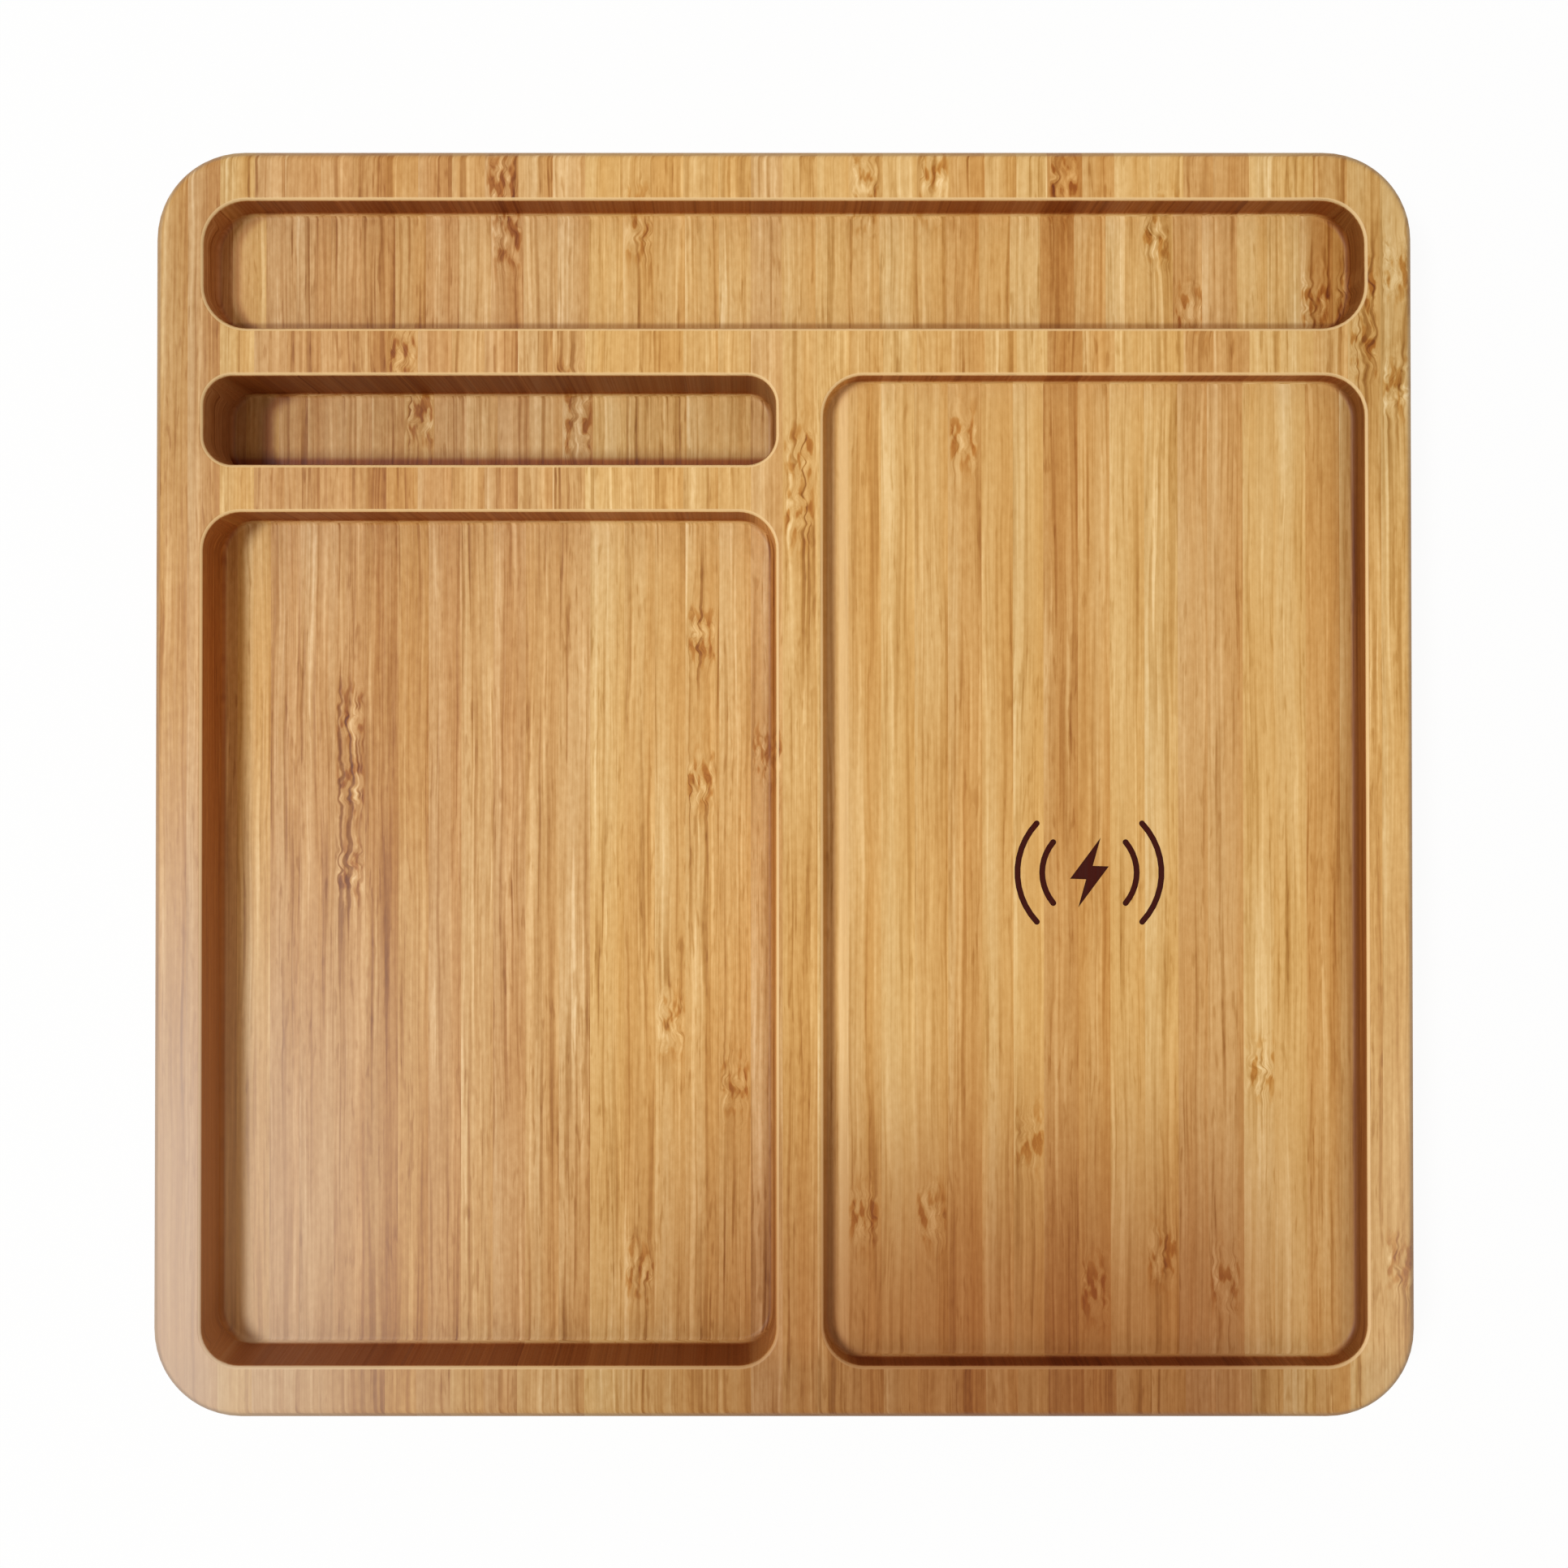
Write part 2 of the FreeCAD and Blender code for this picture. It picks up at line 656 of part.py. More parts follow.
cover_screw = screw(
    "cover_screw",
    [
        (ZERO, ZERO),
        (size.screw_head / 2, ZERO),
        (size.screw_shank / 2, (size.screw_head - size.screw_shank) / 2),
        (size.screw_shank / 2, size.screw_length - size.screw_tip),
        (ZERO, size.screw_length),
    ],
    size.cross_span,
    size.cross_width,
)
copies(
    cover_screw,
    "cover_screws",
    [(phone_x + x, y, size.foot_stand + size.screw_sunk) for x, y in pairs(screw_side, screw_rows)],
)
head_end = size.board_screw_head_height
board_screw = screw(
    "board_screw",
    [
        (ZERO, ZERO),
        (size.board_screw_head / 2 - size.board_screw_bevel, ZERO),
        (size.board_screw_head / 2, size.board_screw_bevel),
        (size.board_screw_head / 2, head_end),
        (size.board_screw_shank / 2, head_end),
        (size.board_screw_shank / 2, head_end + size.board_screw_length),
        (ZERO, head_end + size.board_screw_length),
    ],
    size.board_cross_span,
    size.board_cross_width,
)
copies(
    board_screw,
    "board_screws",
    [(phone_x + x, y, board_top + head_end) for x, y in pairs(board_screw_side, board_screw_rows)],
    turned=True,
)

# Feet: soft discs glued into shallow seats near the corners
for end_name, end in (("front", -1), ("back", 1)):
    for side_name, side in (("left", -1), ("right", 1)):
        foot = new_body(f"foot_{end_name}_{side_name}")
        disc = level_sketch(foot, "Disc", side * size.foot_side, end * size.foot_end, ZERO)
        circles(disc, size.foot_diameter)
        blank = pad(foot, disc, size.foot_stand + size.foot_recess)
        fillet(foot, blank, level_edges(foot.Shape, ZERO), size.foot_round)
        sub_parts.append(foot)

# Bezel: a moulded surround of the inlet, pushed into the back edge
bezel = new_body("port_bezel")
bezel_face = back - size.bezel_sunk
flange = upright_sketch(bezel, "Flange", phone_x, bezel_face, port_z)
rounded_rectangle(flange, size.bezel_width, size.bezel_height, size.bezel_corner)
pad(bezel, flange, size.bezel_flange)
sleeve = upright_sketch(bezel, "Sleeve", phone_x, bezel_face - size.bezel_flange, port_z)
rounded_rectangle(sleeve, size.bezel_sleeve_width, size.bezel_sleeve_height, size.bezel_corner)
pad(bezel, sleeve, size.bezel_sleeve_length)
inlet_slot = upright_sketch(bezel, "Slot", phone_x, bezel_face, port_z)
slot_round = (size.bezel_slot_height - size.socket_flat) / 2
rounded_rectangle(inlet_slot, size.bezel_slot_width, size.bezel_slot_height, slot_round)
slotted = cut(bezel, inlet_slot, size.bezel_flange + size.bezel_sleeve_length, reverse=True)
face_edges = [
    f"Edge{number}"
    for number, edge in enumerate(bezel.Shape.Edges, start=1)
    if edge.BoundBox.YMin > bezel_face.number - TOUCH
]
fillet(bezel, slotted, face_edges, size.bezel_edge)
sub_parts.append(bezel)

# Inlet: a drawn metal shell round a moulded tongue, with gilt contacts on both of its faces
hollow_width = size.socket_width - 2 * size.socket_wall
hollow_height = size.socket_height - 2 * size.socket_wall
shell = new_body("usb_socket_shell")
drawn = upright_sketch(shell, "Drawn", phone_x, socket_mouth, port_z)
rounded_rectangle(drawn, size.socket_width, size.socket_height, (size.socket_height - size.socket_flat) / 2)
pad(shell, drawn, size.socket_length)
hollow = upright_sketch(shell, "Hollow", phone_x, socket_mouth, port_z)
rounded_rectangle(hollow, hollow_width, hollow_height, (hollow_height - size.socket_flat) / 2)
cut(shell, hollow, size.socket_length - size.socket_wall, reverse=True)
sub_parts.append(shell)

tongue = new_body("usb_socket_tongue")
tongue_root = socket_floor + size.tongue_base
tongue_base = upright_sketch(tongue, "Base", phone_x, tongue_root, port_z)
rounded_rectangle(
    tongue_base,
    hollow_width - 2 * size.tongue_fit,
    hollow_height - 2 * size.tongue_fit,
    (hollow_height - size.socket_flat) / 2 - size.tongue_fit,
)
pad(tongue, tongue_base, size.tongue_base)
blade = upright_sketch(tongue, "Blade", phone_x, tongue_root, port_z)
rounded_rectangle(blade, size.tongue_width, size.tongue_thickness, size.tongue_thickness / 4)
pad(tongue, blade, size.tongue_length, reverse=True)
sub_parts.append(tongue)

contact_sides = (size.contact_width, size.contact_length, size.contact_thickness)
contact_y = tongue_root + size.contact_length / 2
contact_levels = {
    "upper": port_z + size.tongue_thickness / 2,
    "lower": port_z - size.tongue_thickness / 2 - size.contact_thickness,
}
contacts = []
for face, level in contact_levels.items():
    for column in range(CONTACTS_IN_ROW):
        contact_x = phone_x + (column - (CONTACTS_IN_ROW - 1) / 2) * size.contact_pitch
        contacts.append(block(f"contact_{face}_{column}", contact_sides, contact_x, contact_y, level))
group("usb_socket_contacts", contacts)

# Charging light: a clear moulded pin from the back edge to a lamp on the circuit board
pipe = new_body("light_pipe")
pin = upright_sketch(pipe, "Pin", light_x, back - size.light_sunk, light_z)
circles(pin, size.light_diameter)
pad(pipe, pin, size.back_wall - size.light_sunk)
collar = upright_sketch(pipe, "Collar", light_x, bay_back, light_z)
circles(collar, size.light_collar)
pad(pipe, collar, size.light_collar_thickness)
sub_parts.append(pipe)
led_sides = (size.led_width, size.led_span, size.led_height)
led_y = bay_back - size.light_collar_thickness - size.led_gap - size.led_span / 2
sub_parts.append(block("status_led", led_sides, light_x, led_y, board_top))

# Circuit board on the cover's posts, with its components standing on it
circuit = new_body("circuit_board")
board_outline = level_sketch(circuit, "Outline", phone_x, board_y, board_bottom)
rounded_rectangle(board_outline, size.board_width, size.board_span, size.board_corner)
pad(circuit, board_outline, size.board_thickness)
board_holes = level_sketch(circuit, "Holes", phone_x, ZERO, board_top)
circles(board_holes, size.board_screw_hole, pairs(board_screw_side, board_screw_rows))
cut(circuit, board_holes, size.board_thickness)
sub_parts.append(circuit)

controller_sides = (size.controller_side, size.controller_side, size.controller_height)
bridge_sides = (size.bridge_width, size.bridge_span, size.bridge_height)
capacitor_sides = (size.capacitor_width, size.capacitor_span, size.capacitor_height)
inductor_sides = (size.inductor_side, size.inductor_side, size.inductor_height)
resistor_sides = (size.resistor_width, size.resistor_span, size.resistor_height)
# Each kind of component has its sides, and its places from the middle of the board
COMPONENTS = {
    "controller_chip": (controller_sides, [(-5, -1)]),
    "bridge_chips": (bridge_sides, [(-14, -5), (-14, 3)]),
    "resonance_capacitors": (capacitor_sides, [(5, -9), (9, -9), (13, -9), (17, -9)]),
    "buffer_capacitors": (capacitor_sides, [(-9, 7.5), (8, 7.5)]),
    "power_inductor": (inductor_sides, [(13, 0)]),
    "chip_resistors": (resistor_sides, [(x, y) for x in (-10, -7.5, -5, -2.5, 0) for y in (-9, -7)]),
}
for label, (sides, places) in COMPONENTS.items():
    solids = []
    for number, (x, y) in enumerate(places):
        solid_label = label if len(places) == 1 else f"{label}_{number}"
        solids.append(block(solid_label, sides, phone_x + x, board_y + y, board_top))
    if len(places) == 1:
        sub_parts += solids
    else:
        group(label, solids)

# Coil: one unbroken wire that winds inwards in the upper layer and outwards in the lower one
coil_middle = Vector(phone_x.number, phone_y.number)
upper_level = (coil_ceiling - size.coil_top_gap).number
lower_level = upper_level - size.wire_pitch.number
lead_level = (board_top + size.lead_clearance).number
half_turns = 2 * COIL_TURNS


def half_turn(start, end):
    """A half circle between two points left and right of the middle, wound clockwise seen from above."""
    bulge = Vector(0, (end.x - start.x) / 2, 0)
    return Part.Arc(start, (start + end) / 2 + bulge, end).toShape()


def slope(start, end):
    """Two equal arcs in an upright plane that lower a lead from one level run to the next."""
    run = end.y - start.y
    drop = start.z - end.z
    radius = (run * run + drop * drop) / (4 * drop)
    half_angle = math.asin(run / 2 / radius) / 2
    along = radius * math.sin(half_angle)
    down = radius * (1 - math.cos(half_angle))
    middle = (start + end) / 2
    first = Part.Arc(start, start + Vector(0, along, -down), middle)
    second = Part.Arc(middle, end - Vector(0, along, -down), end)
    return [first.toShape(), second.toShape()]


def lead(side, level):
    """A lead from the coil's edge to the board: back, down a slope, and square onto its pad."""
    x = coil_middle.x + side * size.coil_outer.number
    bend = size.lead_bend.number
    landing_y = (board_front + size.lead_landing).number
    edge = Vector(x, coil_middle.y, level)
    slope_start = edge + Vector(0, size.lead_start.number, 0)
    slope_end = Vector(x, slope_start.y + size.lead_slope_run.number, lead_level)
    bend_start = Vector(x, landing_y - bend, lead_level)
    bend_middle = bend_start + Vector(0, bend * math.sqrt(0.5), bend * (math.sqrt(0.5) - 1))
    bend_end = Vector(x, landing_y, lead_level - bend)
    landing = Vector(x, landing_y, board_top.number)
    return [
        Part.LineSegment(edge, slope_start).toShape(),
        *slope(slope_start, slope_end),
        Part.LineSegment(slope_end, bend_start).toShape(),
        Part.Arc(bend_start, bend_middle, bend_end).toShape(),
        Part.LineSegment(bend_end, landing).toShape(),
    ]


def turn_point(half_turn_number, side, level):
    """Where the wire crosses the line through the coil's middle, so many half turns in from its edge."""
    reach = size.coil_outer.number - half_turn_number * size.wire_pitch.number / 2
    return Vector(coil_middle.x + side * reach, coil_middle.y, level)


inwards = [turn_point(number, (-1) ** number, upper_level) for number in range(half_turns + 1)]
outwards = [turn_point(number, -((-1) ** number), lower_level) for number in range(half_turns, -1, -1)]
crossings = inwards + outwards
windings = [half_turn(start, end) for start, end in zip(crossings, crossings[1:])]
first_lead = lead(1, upper_level)
last_lead = lead(-1, lower_level)
path = Part.Wire([*reversed(first_lead), *windings, *last_lead])
wire_start = first_lead[-1].Vertexes[-1].Point
wire_circle = Part.Circle(wire_start, Vector(0, 0, 1), size.wire_diameter.number / 2)
wire_sweep = Part.BRepOffsetAPI.MakePipeShell(path)
wire_sweep.add(Part.Wire([wire_circle.toShape()]))
wire_sweep.build()
wire_sweep.makeSolid()
coil = doc.addObject("Part::Feature", "TransmitCoil")
coil.Label = "transmit_coil"
coil.Shape = wire_sweep.shape()
sub_parts.append(coil)


def least_gap(wire_path, diameter):
    """The least clear space between stretches of the wire that are well apart along it."""
    points = wire_path.discretize(Distance=diameter)
    well_apart = 4
    distances = (
        point.distanceToPoint(other)
        for number, point in enumerate(points)
        for other in points[number + well_apart :]
    )
    return min(distances) - diameter


wire_volume = math.pi * size.wire_diameter.number**2 / 4 * path.Length
gap = least_gap(path, size.wire_diameter.number)
print(f"coil wire {path.Length:.0f} mm long, volume {coil.Shape.Volume / wire_volume:.4f} of its section swept")
print(f"least gap between stretches of the coil wire {gap:.2f} mm")

# What holds the coil: a glued sheet above it, a ferrite disc below it and a foam block on the cover
glue = new_body("coil_adhesive")
glue_sheet = level_sketch(glue, "Sheet", phone_x, phone_y, coil_ceiling - size.adhesive_thickness)
circles(glue_sheet, 2 * size.coil_outer)
pad(glue, glue_sheet, size.adhesive_thickness)
glue_bore = level_sketch(glue, "Bore", phone_x, phone_y, coil_ceiling)
circles(glue_bore, size.adhesive_bore)
cut(glue, glue_bore, size.adhesive_thickness)
sub_parts.append(glue)

shield = new_body("ferrite_shield")
shield_disc = level_sketch(shield, "Disc", phone_x, phone_y, cover_top + size.foam_height)
circles(shield_disc, 2 * size.shield_radius)
pad(shield, shield_disc, size.shield_thickness)
sub_parts.append(shield)

foam = new_body("coil_foam_pad")
foam_block = level_sketch(foam, "Block", phone_x, phone_y, cover_top)
rounded_rectangle(foam_block, size.foam_side, size.foam_side, size.foam_corner)
pad(foam, foam_block, size.foam_height)
sub_parts.append(foam)

# Every object has to be sound before anything is written
doc.recompute()
for item in doc.Objects:
    if {"Invalid", "Error"} & set(item.State):
        raise RuntimeError(f"{item.Label} failed: {item.State}")
for item in sub_parts:
    if item.Shape.isNull() or not item.Shape.isValid():
        raise RuntimeError(f"{item.Label} has no sound shape")
os.makedirs("parts", exist_ok=True)
for item in sub_parts:
    item.Shape.exportStep(f"parts/{item.Label}.step")
    box = item.Shape.optimalBoundingBox()
    print(
        f"{item.Label}: {len(item.Shape.Solids)} solid(s), x {box.XMin:.2f} to {box.XMax:.2f}, "
        f"y {box.YMin:.2f} to {box.YMax:.2f}, z {box.ZMin:.2f} to {box.ZMax:.2f}"
    )
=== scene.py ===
import bisect
import random
from functools import partialmethod
from math import ceil, cos, pi, radians, sin, tau
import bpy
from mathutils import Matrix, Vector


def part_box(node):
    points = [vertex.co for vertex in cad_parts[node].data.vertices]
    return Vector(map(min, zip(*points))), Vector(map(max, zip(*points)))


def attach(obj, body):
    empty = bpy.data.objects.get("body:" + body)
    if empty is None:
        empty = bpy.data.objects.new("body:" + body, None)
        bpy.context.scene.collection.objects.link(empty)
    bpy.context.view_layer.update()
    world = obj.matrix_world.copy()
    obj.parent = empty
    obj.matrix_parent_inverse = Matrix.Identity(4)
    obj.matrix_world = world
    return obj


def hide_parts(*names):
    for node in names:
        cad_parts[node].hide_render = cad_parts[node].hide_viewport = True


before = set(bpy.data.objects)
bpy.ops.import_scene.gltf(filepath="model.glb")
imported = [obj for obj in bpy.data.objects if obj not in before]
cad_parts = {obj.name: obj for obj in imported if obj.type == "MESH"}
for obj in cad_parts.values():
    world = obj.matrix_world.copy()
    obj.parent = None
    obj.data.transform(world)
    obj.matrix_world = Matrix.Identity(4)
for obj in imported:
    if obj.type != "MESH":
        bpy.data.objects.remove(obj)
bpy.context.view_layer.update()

from types import SimpleNamespace

import bmesh
import bpy
from mathutils import Matrix, Vector

# Bamboo board: thirty-eight bamboo strips glued side by side, with their grain from front to back.
# The pockets are milled, which scorches their walls, and the pictogram in the phone tray is burnt in.
# The edges are sanded round and the whole board is rubbed with a satin oil.
# Its colour also holds painted light: shade on the pocket walls and floors, shadow lines by the left walls,
# highlights on the rims and a sheen on its left.
MM = 0.001
TONES = {
    "straw": (221, 178, 113),
    "honey": (217, 171, 105),
    "rose": (210, 163, 103),
    "tan": (204, 155, 98),
    "amber": (211, 161, 95),
    "caramel": (201, 149, 85),
    "toffee": (191, 138, 78),
}
# From left to right, each strip's tone and its knots, in millimetres to the back of the board's middle
STRIPS = [
    ("caramel", ()), ("tan", ()), ("honey", ()), ("tan", ()), ("tan", ()), ("tan", (12, -1, -16)),
    ("toffee", ()), ("caramel", (76, 67)), ("tan", ()), ("rose", ()), ("tan", (105, 97)),
    ("rose", ()), ("rose", (69, 64)), ("straw", ()), ("honey", (99, -89)), ("honey", (-44,)),
    ("honey", (26, 0)), ("honey", (-55,)), ("rose", (5,)), ("honey", (58, 47)), ("straw", ()),
    ("honey", (105, -77)), ("straw", ()), ("honey", (106, -77)), ("amber", (61,)), ("honey", ()),
    ("straw", (-63,)), ("caramel", (106,)), ("amber", (-90,)), ("straw", ()), ("straw", (98, -84)),
    ("rose", (84,)), ("rose", (-89,)), ("straw", (-51,)), ("straw", ()), ("amber", (86,)),
    ("honey", (87, 76)), ("straw", (90, 69, -84)),
]
NO_KNOT = 900
KNOT_REACH = 4.8
TAIL_REACH = 14
STRIP_WANDER = 0.35
STRIP_LAYERS = 60
# Slow noise over a strip: its steps per millimetre across and along, and its layer
WANDERS = {
    "sweep": (0.05, 0.025, 9),
    "wave": (0.25, 0.09, 13),
    "sideways swirl": (0.2, 0.36, 3),
    "lengthways swirl": (0.35, 0.2, 19),
    "drift": (0, 0.016, 5),
    "strokes": (0.85, 0.28, 31),
}
# Noise drawn out along the fibres: its steps per millimetre across, stretch, layer and detail
FIBRES = {
    "broad": (0.32, 60, 0, 1),
    "fine": (2.6, 70, 23, 2),
    "coming": (0.25, 12, 71, 1),
    "dark": (1, 45, 37, 2),
    "hair": (1.9, 50, 43, 1),
    "light": (0.85, 50, 57, 1),
    "flecks": (1.4, 8, 83, 1),
    "pores": (1.2, 2.2, 91, 2),
    "veins": (0.9, 60, 97, 1),
}
SHARP_ANGLE = radians(35)
WALL_MARGIN = 6.5
RIM_HEIGHT = 1.2
RIM_SIDE = 8.7
RIM_BACK = 9
RIM_FRONT = 9.4
DIVIDER = 8.5
PEN_SPAN = 22.3
SLOT_SPAN = 15.5
LEFT_COLUMN = 100.4
PHONE_SINK = 4.5
ICON_MIDDLE = (54.35, -16.1)
ICON_REACH = 15
ICON_SKIN = 0.03
ICON_DEPTH = 0.6
strip_luck = random.Random(38)


def box_of(node):
    """A CAD node's lowest and highest corners, in millimetres."""
    return [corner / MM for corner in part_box(node)]


tray_low, tray_high = box_of("bamboo_tray")
STRIP_WIDTH = (tray_high.x - tray_low.x) / len(STRIPS)

# The walls of the pockets, from the board's edges inwards
left_edge = tray_low.x + RIM_SIDE
right_edge = tray_high.x - RIM_SIDE
column_edge = left_edge + LEFT_COLUMN
phone_edge = column_edge + DIVIDER
pen_back = tray_high.y - RIM_BACK
pen_front = pen_back - PEN_SPAN
row_back = pen_front - DIVIDER
slot_front = row_back - SLOT_SPAN
tray_back = slot_front - DIVIDER
row_front = tray_low.y + RIM_FRONT
POCKETS = {
    "pen": SimpleNamespace(left=left_edge, right=right_edge, front=pen_front, back=pen_back, corner=7.5),
    "slot": SimpleNamespace(left=left_edge, right=column_edge, front=slot_front, back=row_back, corner=5),
    "tray": SimpleNamespace(left=left_edge, right=column_edge, front=row_front, back=tray_back, corner=6.5),
    "phone": SimpleNamespace(left=phone_edge, right=right_edge, front=row_front, back=row_back, corner=7),
}

# Tints of burnt and scorched wood, of the darker front and dull edges, and of painted highlights, shade and
# sheen
# Painted highlights on the rims and on the phone tray's floor by its left wall
RIM_HIGHLIGHT = (240, 203, 148)
PAINTED_FLOOR_LIGHT = (250, 214, 158)
FRONT_DARKENING = (195, 165, 144)
DULLED = (241, 244, 248)
# Painted sheen of the lamp, paler towards the left and the front
PAINTED_SHEEN = (212, 190, 174)
# Painted shade on the rounded outer edges
EDGE_SHADE = (118, 102, 92)
# Painted shadow lines by the left walls
SHADOW_EDGE_TINT = (190, 150, 110)
BURNT = (50, 6, 0)
# Wall tints, each scorch and painted shade for the way the wall faces
BURNT_PALE = (70, 15, 2)
WALL_SCORCH_SHADE = (176, 116, 63)
RIGHT_SCORCH_SHADE = (154, 108, 55)
LEFT_SCORCH_SHADE = (212, 166, 114)
BACK_ROW_SCORCH_SHADE = (246, 220, 206)
MIDDLE_SCORCH_SHADE = (243, 222, 192)
AMBER = (226, 195, 143)
WARM = (244, 208, 160)
PALE = (255, 243, 210)
BROWN = (176, 146, 110)
DARK = (205, 140, 60)
# Painted shade and warm shadow tints on the floors along their walls: where each is solid, where it ends, its
# strength and its tint
FLOOR_SHADES = [
    ("pen", "left", 2, 9, 0.45, WARM),
    ("pen", "right", 3, 9, 0.85, AMBER),
    ("pen", "front", 2, 2.9, 0.7, BROWN),
    ("slot", "left", 6, 10, 0.4, AMBER),
    ("slot", "right", 0.3, 2.5, 0.4, BROWN),
    ("slot", "front", 2.2, 6, 0.8, BROWN),
    ("slot", "front", 2.9, 3.9, 0.9, DARK),
    ("tray", "left", 3, 5.5, 1, PALE),
    ("tray", "right", 0.6, 3, 0.5, BROWN),
    ("phone", "right", 0, 6, 0.6, BROWN),
]
# Painted shadow lines on the floors by their left walls: how far off each is, its spread and its strength
SHADOW_EDGES = [("pen", 3.7, 1.3, 0.6), ("slot", 7, 2.5, 1), ("phone", 1.9, 1.2, 0.42)]


def linear(colour):
    """A screen colour, from 0 to 255, as the shader takes it."""
    parts = [part / 255 for part in colour]
    return [part / 12.92 if part <= 0.04045 else ((part + 0.055) / 1.055) ** 2.4 for part in parts] + [1.0]


def merged_copy(node):
    """A copy of a CAD node with its loose triangles joined."""
    form = bmesh.new()
    form.from_mesh(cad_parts[node].data)
    bmesh.ops.remove_doubles(form, verts=form.verts, dist=0.001 * MM)
    return form


def smoothed(form):
    """A form whose faces are shaded as one round surface."""
    for face in form.faces:
        face.smooth = True
    return form


def placed(name, data):
    """A new object in the scene, made of its data."""
    item = bpy.data.objects.new(name, data)
    bpy.context.scene.collection.objects.link(item)
    return item


def new_piece(name, form, finish):
    """An object of its own from a finished form."""
    mesh = bpy.data.meshes.new(name)
    form.to_mesh(mesh)
    form.free()
    if "custom_normal" in mesh.attributes:
        mesh.attributes.remove(mesh.attributes["custom_normal"])
    mesh.materials.clear()
    mesh.materials.append(finish.material)
    return placed(name, mesh)


def plain_mesh(item):
    """A plain mesh of what an object's modifiers make."""
    graph = bpy.context.evaluated_depsgraph_get()
    made = item.evaluated_get(graph)
    return bpy.data.meshes.new_from_object(made, preserve_all_data_layers=True, depsgraph=graph)


def settle(piece):
    """Put a plain mesh in place of a piece's modifiers."""
    mesh = plain_mesh(piece)
    piece.modifiers.clear()
    piece.data = mesh


def stand_for(piece, node):
    """Show a piece of the one rigid body in place of a CAD node."""
    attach(piece, "root")
    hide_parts(node)


class Field:
    """A value, place or colour that changes over an object. Arithmetic adds nodes to its tree."""

    def __init__(self, socket):
        self.socket = socket
        self.tree = socket.id_data

    def step(self, operation, *others):
        return field(self.tree, "ShaderNodeMath", enumerate((self, *others)), operation=operation)

    def __rsub__(self, other):
        return self.step("MULTIPLY_ADD", -1, other)

    __add__ = __radd__ = partialmethod(step, "ADD")
    __sub__ = partialmethod(step, "SUBTRACT")
    __mul__ = partialmethod(step, "MULTIPLY")
    __lt__ = partialmethod(step, "LESS_THAN")
    __gt__ = partialmethod(step, "GREATER_THAN")
    __abs__ = partialmethod(step, "ABSOLUTE")
    larger = partialmethod(step, "MAXIMUM")
    smaller = partialmethod(step, "MINIMUM")


def set_inputs(item, inputs):
    """Set a node's inputs to values, or join them to fields."""
    for key, value in dict(inputs).items():
        if isinstance(value, Field):
            value.tree.links.new(value.socket, item.inputs[key])
        else:
            item.inputs[key].default_value = value


def add_node(tree, kind, inputs=(), **settings):
    """A new node with its settings and inputs."""
    item = tree.nodes.new(kind)
    for name, value in settings.items():
        setattr(item, name, value)
    set_inputs(item, inputs)
    return item


def field(tree, kind, inputs=(), output=0, **settings):
    """What a new node gives out, as a field."""
    return Field(add_node(tree, kind, inputs, **settings).outputs[output])


def swing(noise, amount):
    """Noise that swings about nothing by an amount."""
    return noise * amount - amount / 2


def between(value, low, high):
    """One between two limits, and nothing elsewhere."""
    return (value > low) * (value < high)


def beyond(value, low, high, margin):
    """How far a value lies beyond a span that keeps a margin inside two limits."""
    return abs(value - (low + high) / 2) + (margin - (high - low) / 2)


def length_of(first, second):
    """The length of a line that goes so far along two axes."""
    return (first * first + second * second).step("SQRT")


def ease(value, low, high, first=0, last=1):
    """A soft step from first to last as a value goes from low to high."""
    inputs = enumerate((value, low, high, first, last))
    return field(value.tree, "ShaderNodeMapRange", inputs, interpolation_type="SMOOTHSTEP")


def mixed(share, first, second, how="MIX"):
    """Two colours, as fields or as on a screen, mixed by a share from 0 to 1."""
    first, second = (colour if isinstance(colour, Field) else linear(colour) for colour in (first, second))
    inputs = {0: share, 6: first, 7: second}
    return field(share.tree, "ShaderNodeMix", inputs, 2, data_type="RGBA", blend_type=how)


def joined(*parts):
    """Three values as one vector."""
    tree = next(part.tree for part in parts if isinstance(part, Field))
    return field(tree, "ShaderNodeCombineXYZ", enumerate(parts))


def split(vector):
    """The three values of a vector."""
    return [Field(part) for part in add_node(vector.tree, "ShaderNodeSeparateXYZ", {0: vector}).outputs]


def stretched(place, factors):
    """Places multiplied by a factor along each axis."""
    return field(place.tree, "ShaderNodeVectorMath", {0: place, 1: factors}, operation="MULTIPLY")


def speckle(place, scale, detail=2, roughness=0.5):
    """Soft noise over a surface, from 0 to 1."""
    inputs = {"Vector": place, "Scale": scale, "Detail": detail, "Roughness": roughness}
    return field(place.tree, "ShaderNodeTexNoise", inputs)


def cells(place, scale, randomness=1, **settings):
    """How far a place is from the middle or the wall of random cells."""
    inputs = {"Vector": place, "Scale": scale, "Randomness": randomness}
    return field(place.tree, "ShaderNodeTexVoronoi", inputs, **settings)


def in_mm(tree):
    """Places on the object, in millimetres."""
    return stretched(field(tree, "ShaderNodeTexCoord", output="Object"), (1 / MM, 1 / MM, 1 / MM))


def facing_way(tree):
    """The way that the surface faces, as three values."""
    return split(field(tree, "ShaderNodeTexCoord", output="Normal"))


def stored(tree, name, output):
    """What the mesh keeps on its faces under a name."""
    return field(tree, "ShaderNodeAttribute", output=output, attribute_name=name)


def new_finish(name):
    """A material with its tree and its surface shader."""
    material = bpy.data.materials.new(name)
    material.use_nodes = True
    tree = material.node_tree
    return SimpleNamespace(material=material, tree=tree, surface=tree.nodes["Principled BSDF"])


def bump(finish, height, depth):
    """Small relief from a height of 0 to 1, with its depth in millimetres."""
    relief = field(finish.tree, "ShaderNodeBump", {"Height": height, "Distance": depth * MM})
    set_inputs(finish.surface, {"Normal": relief})


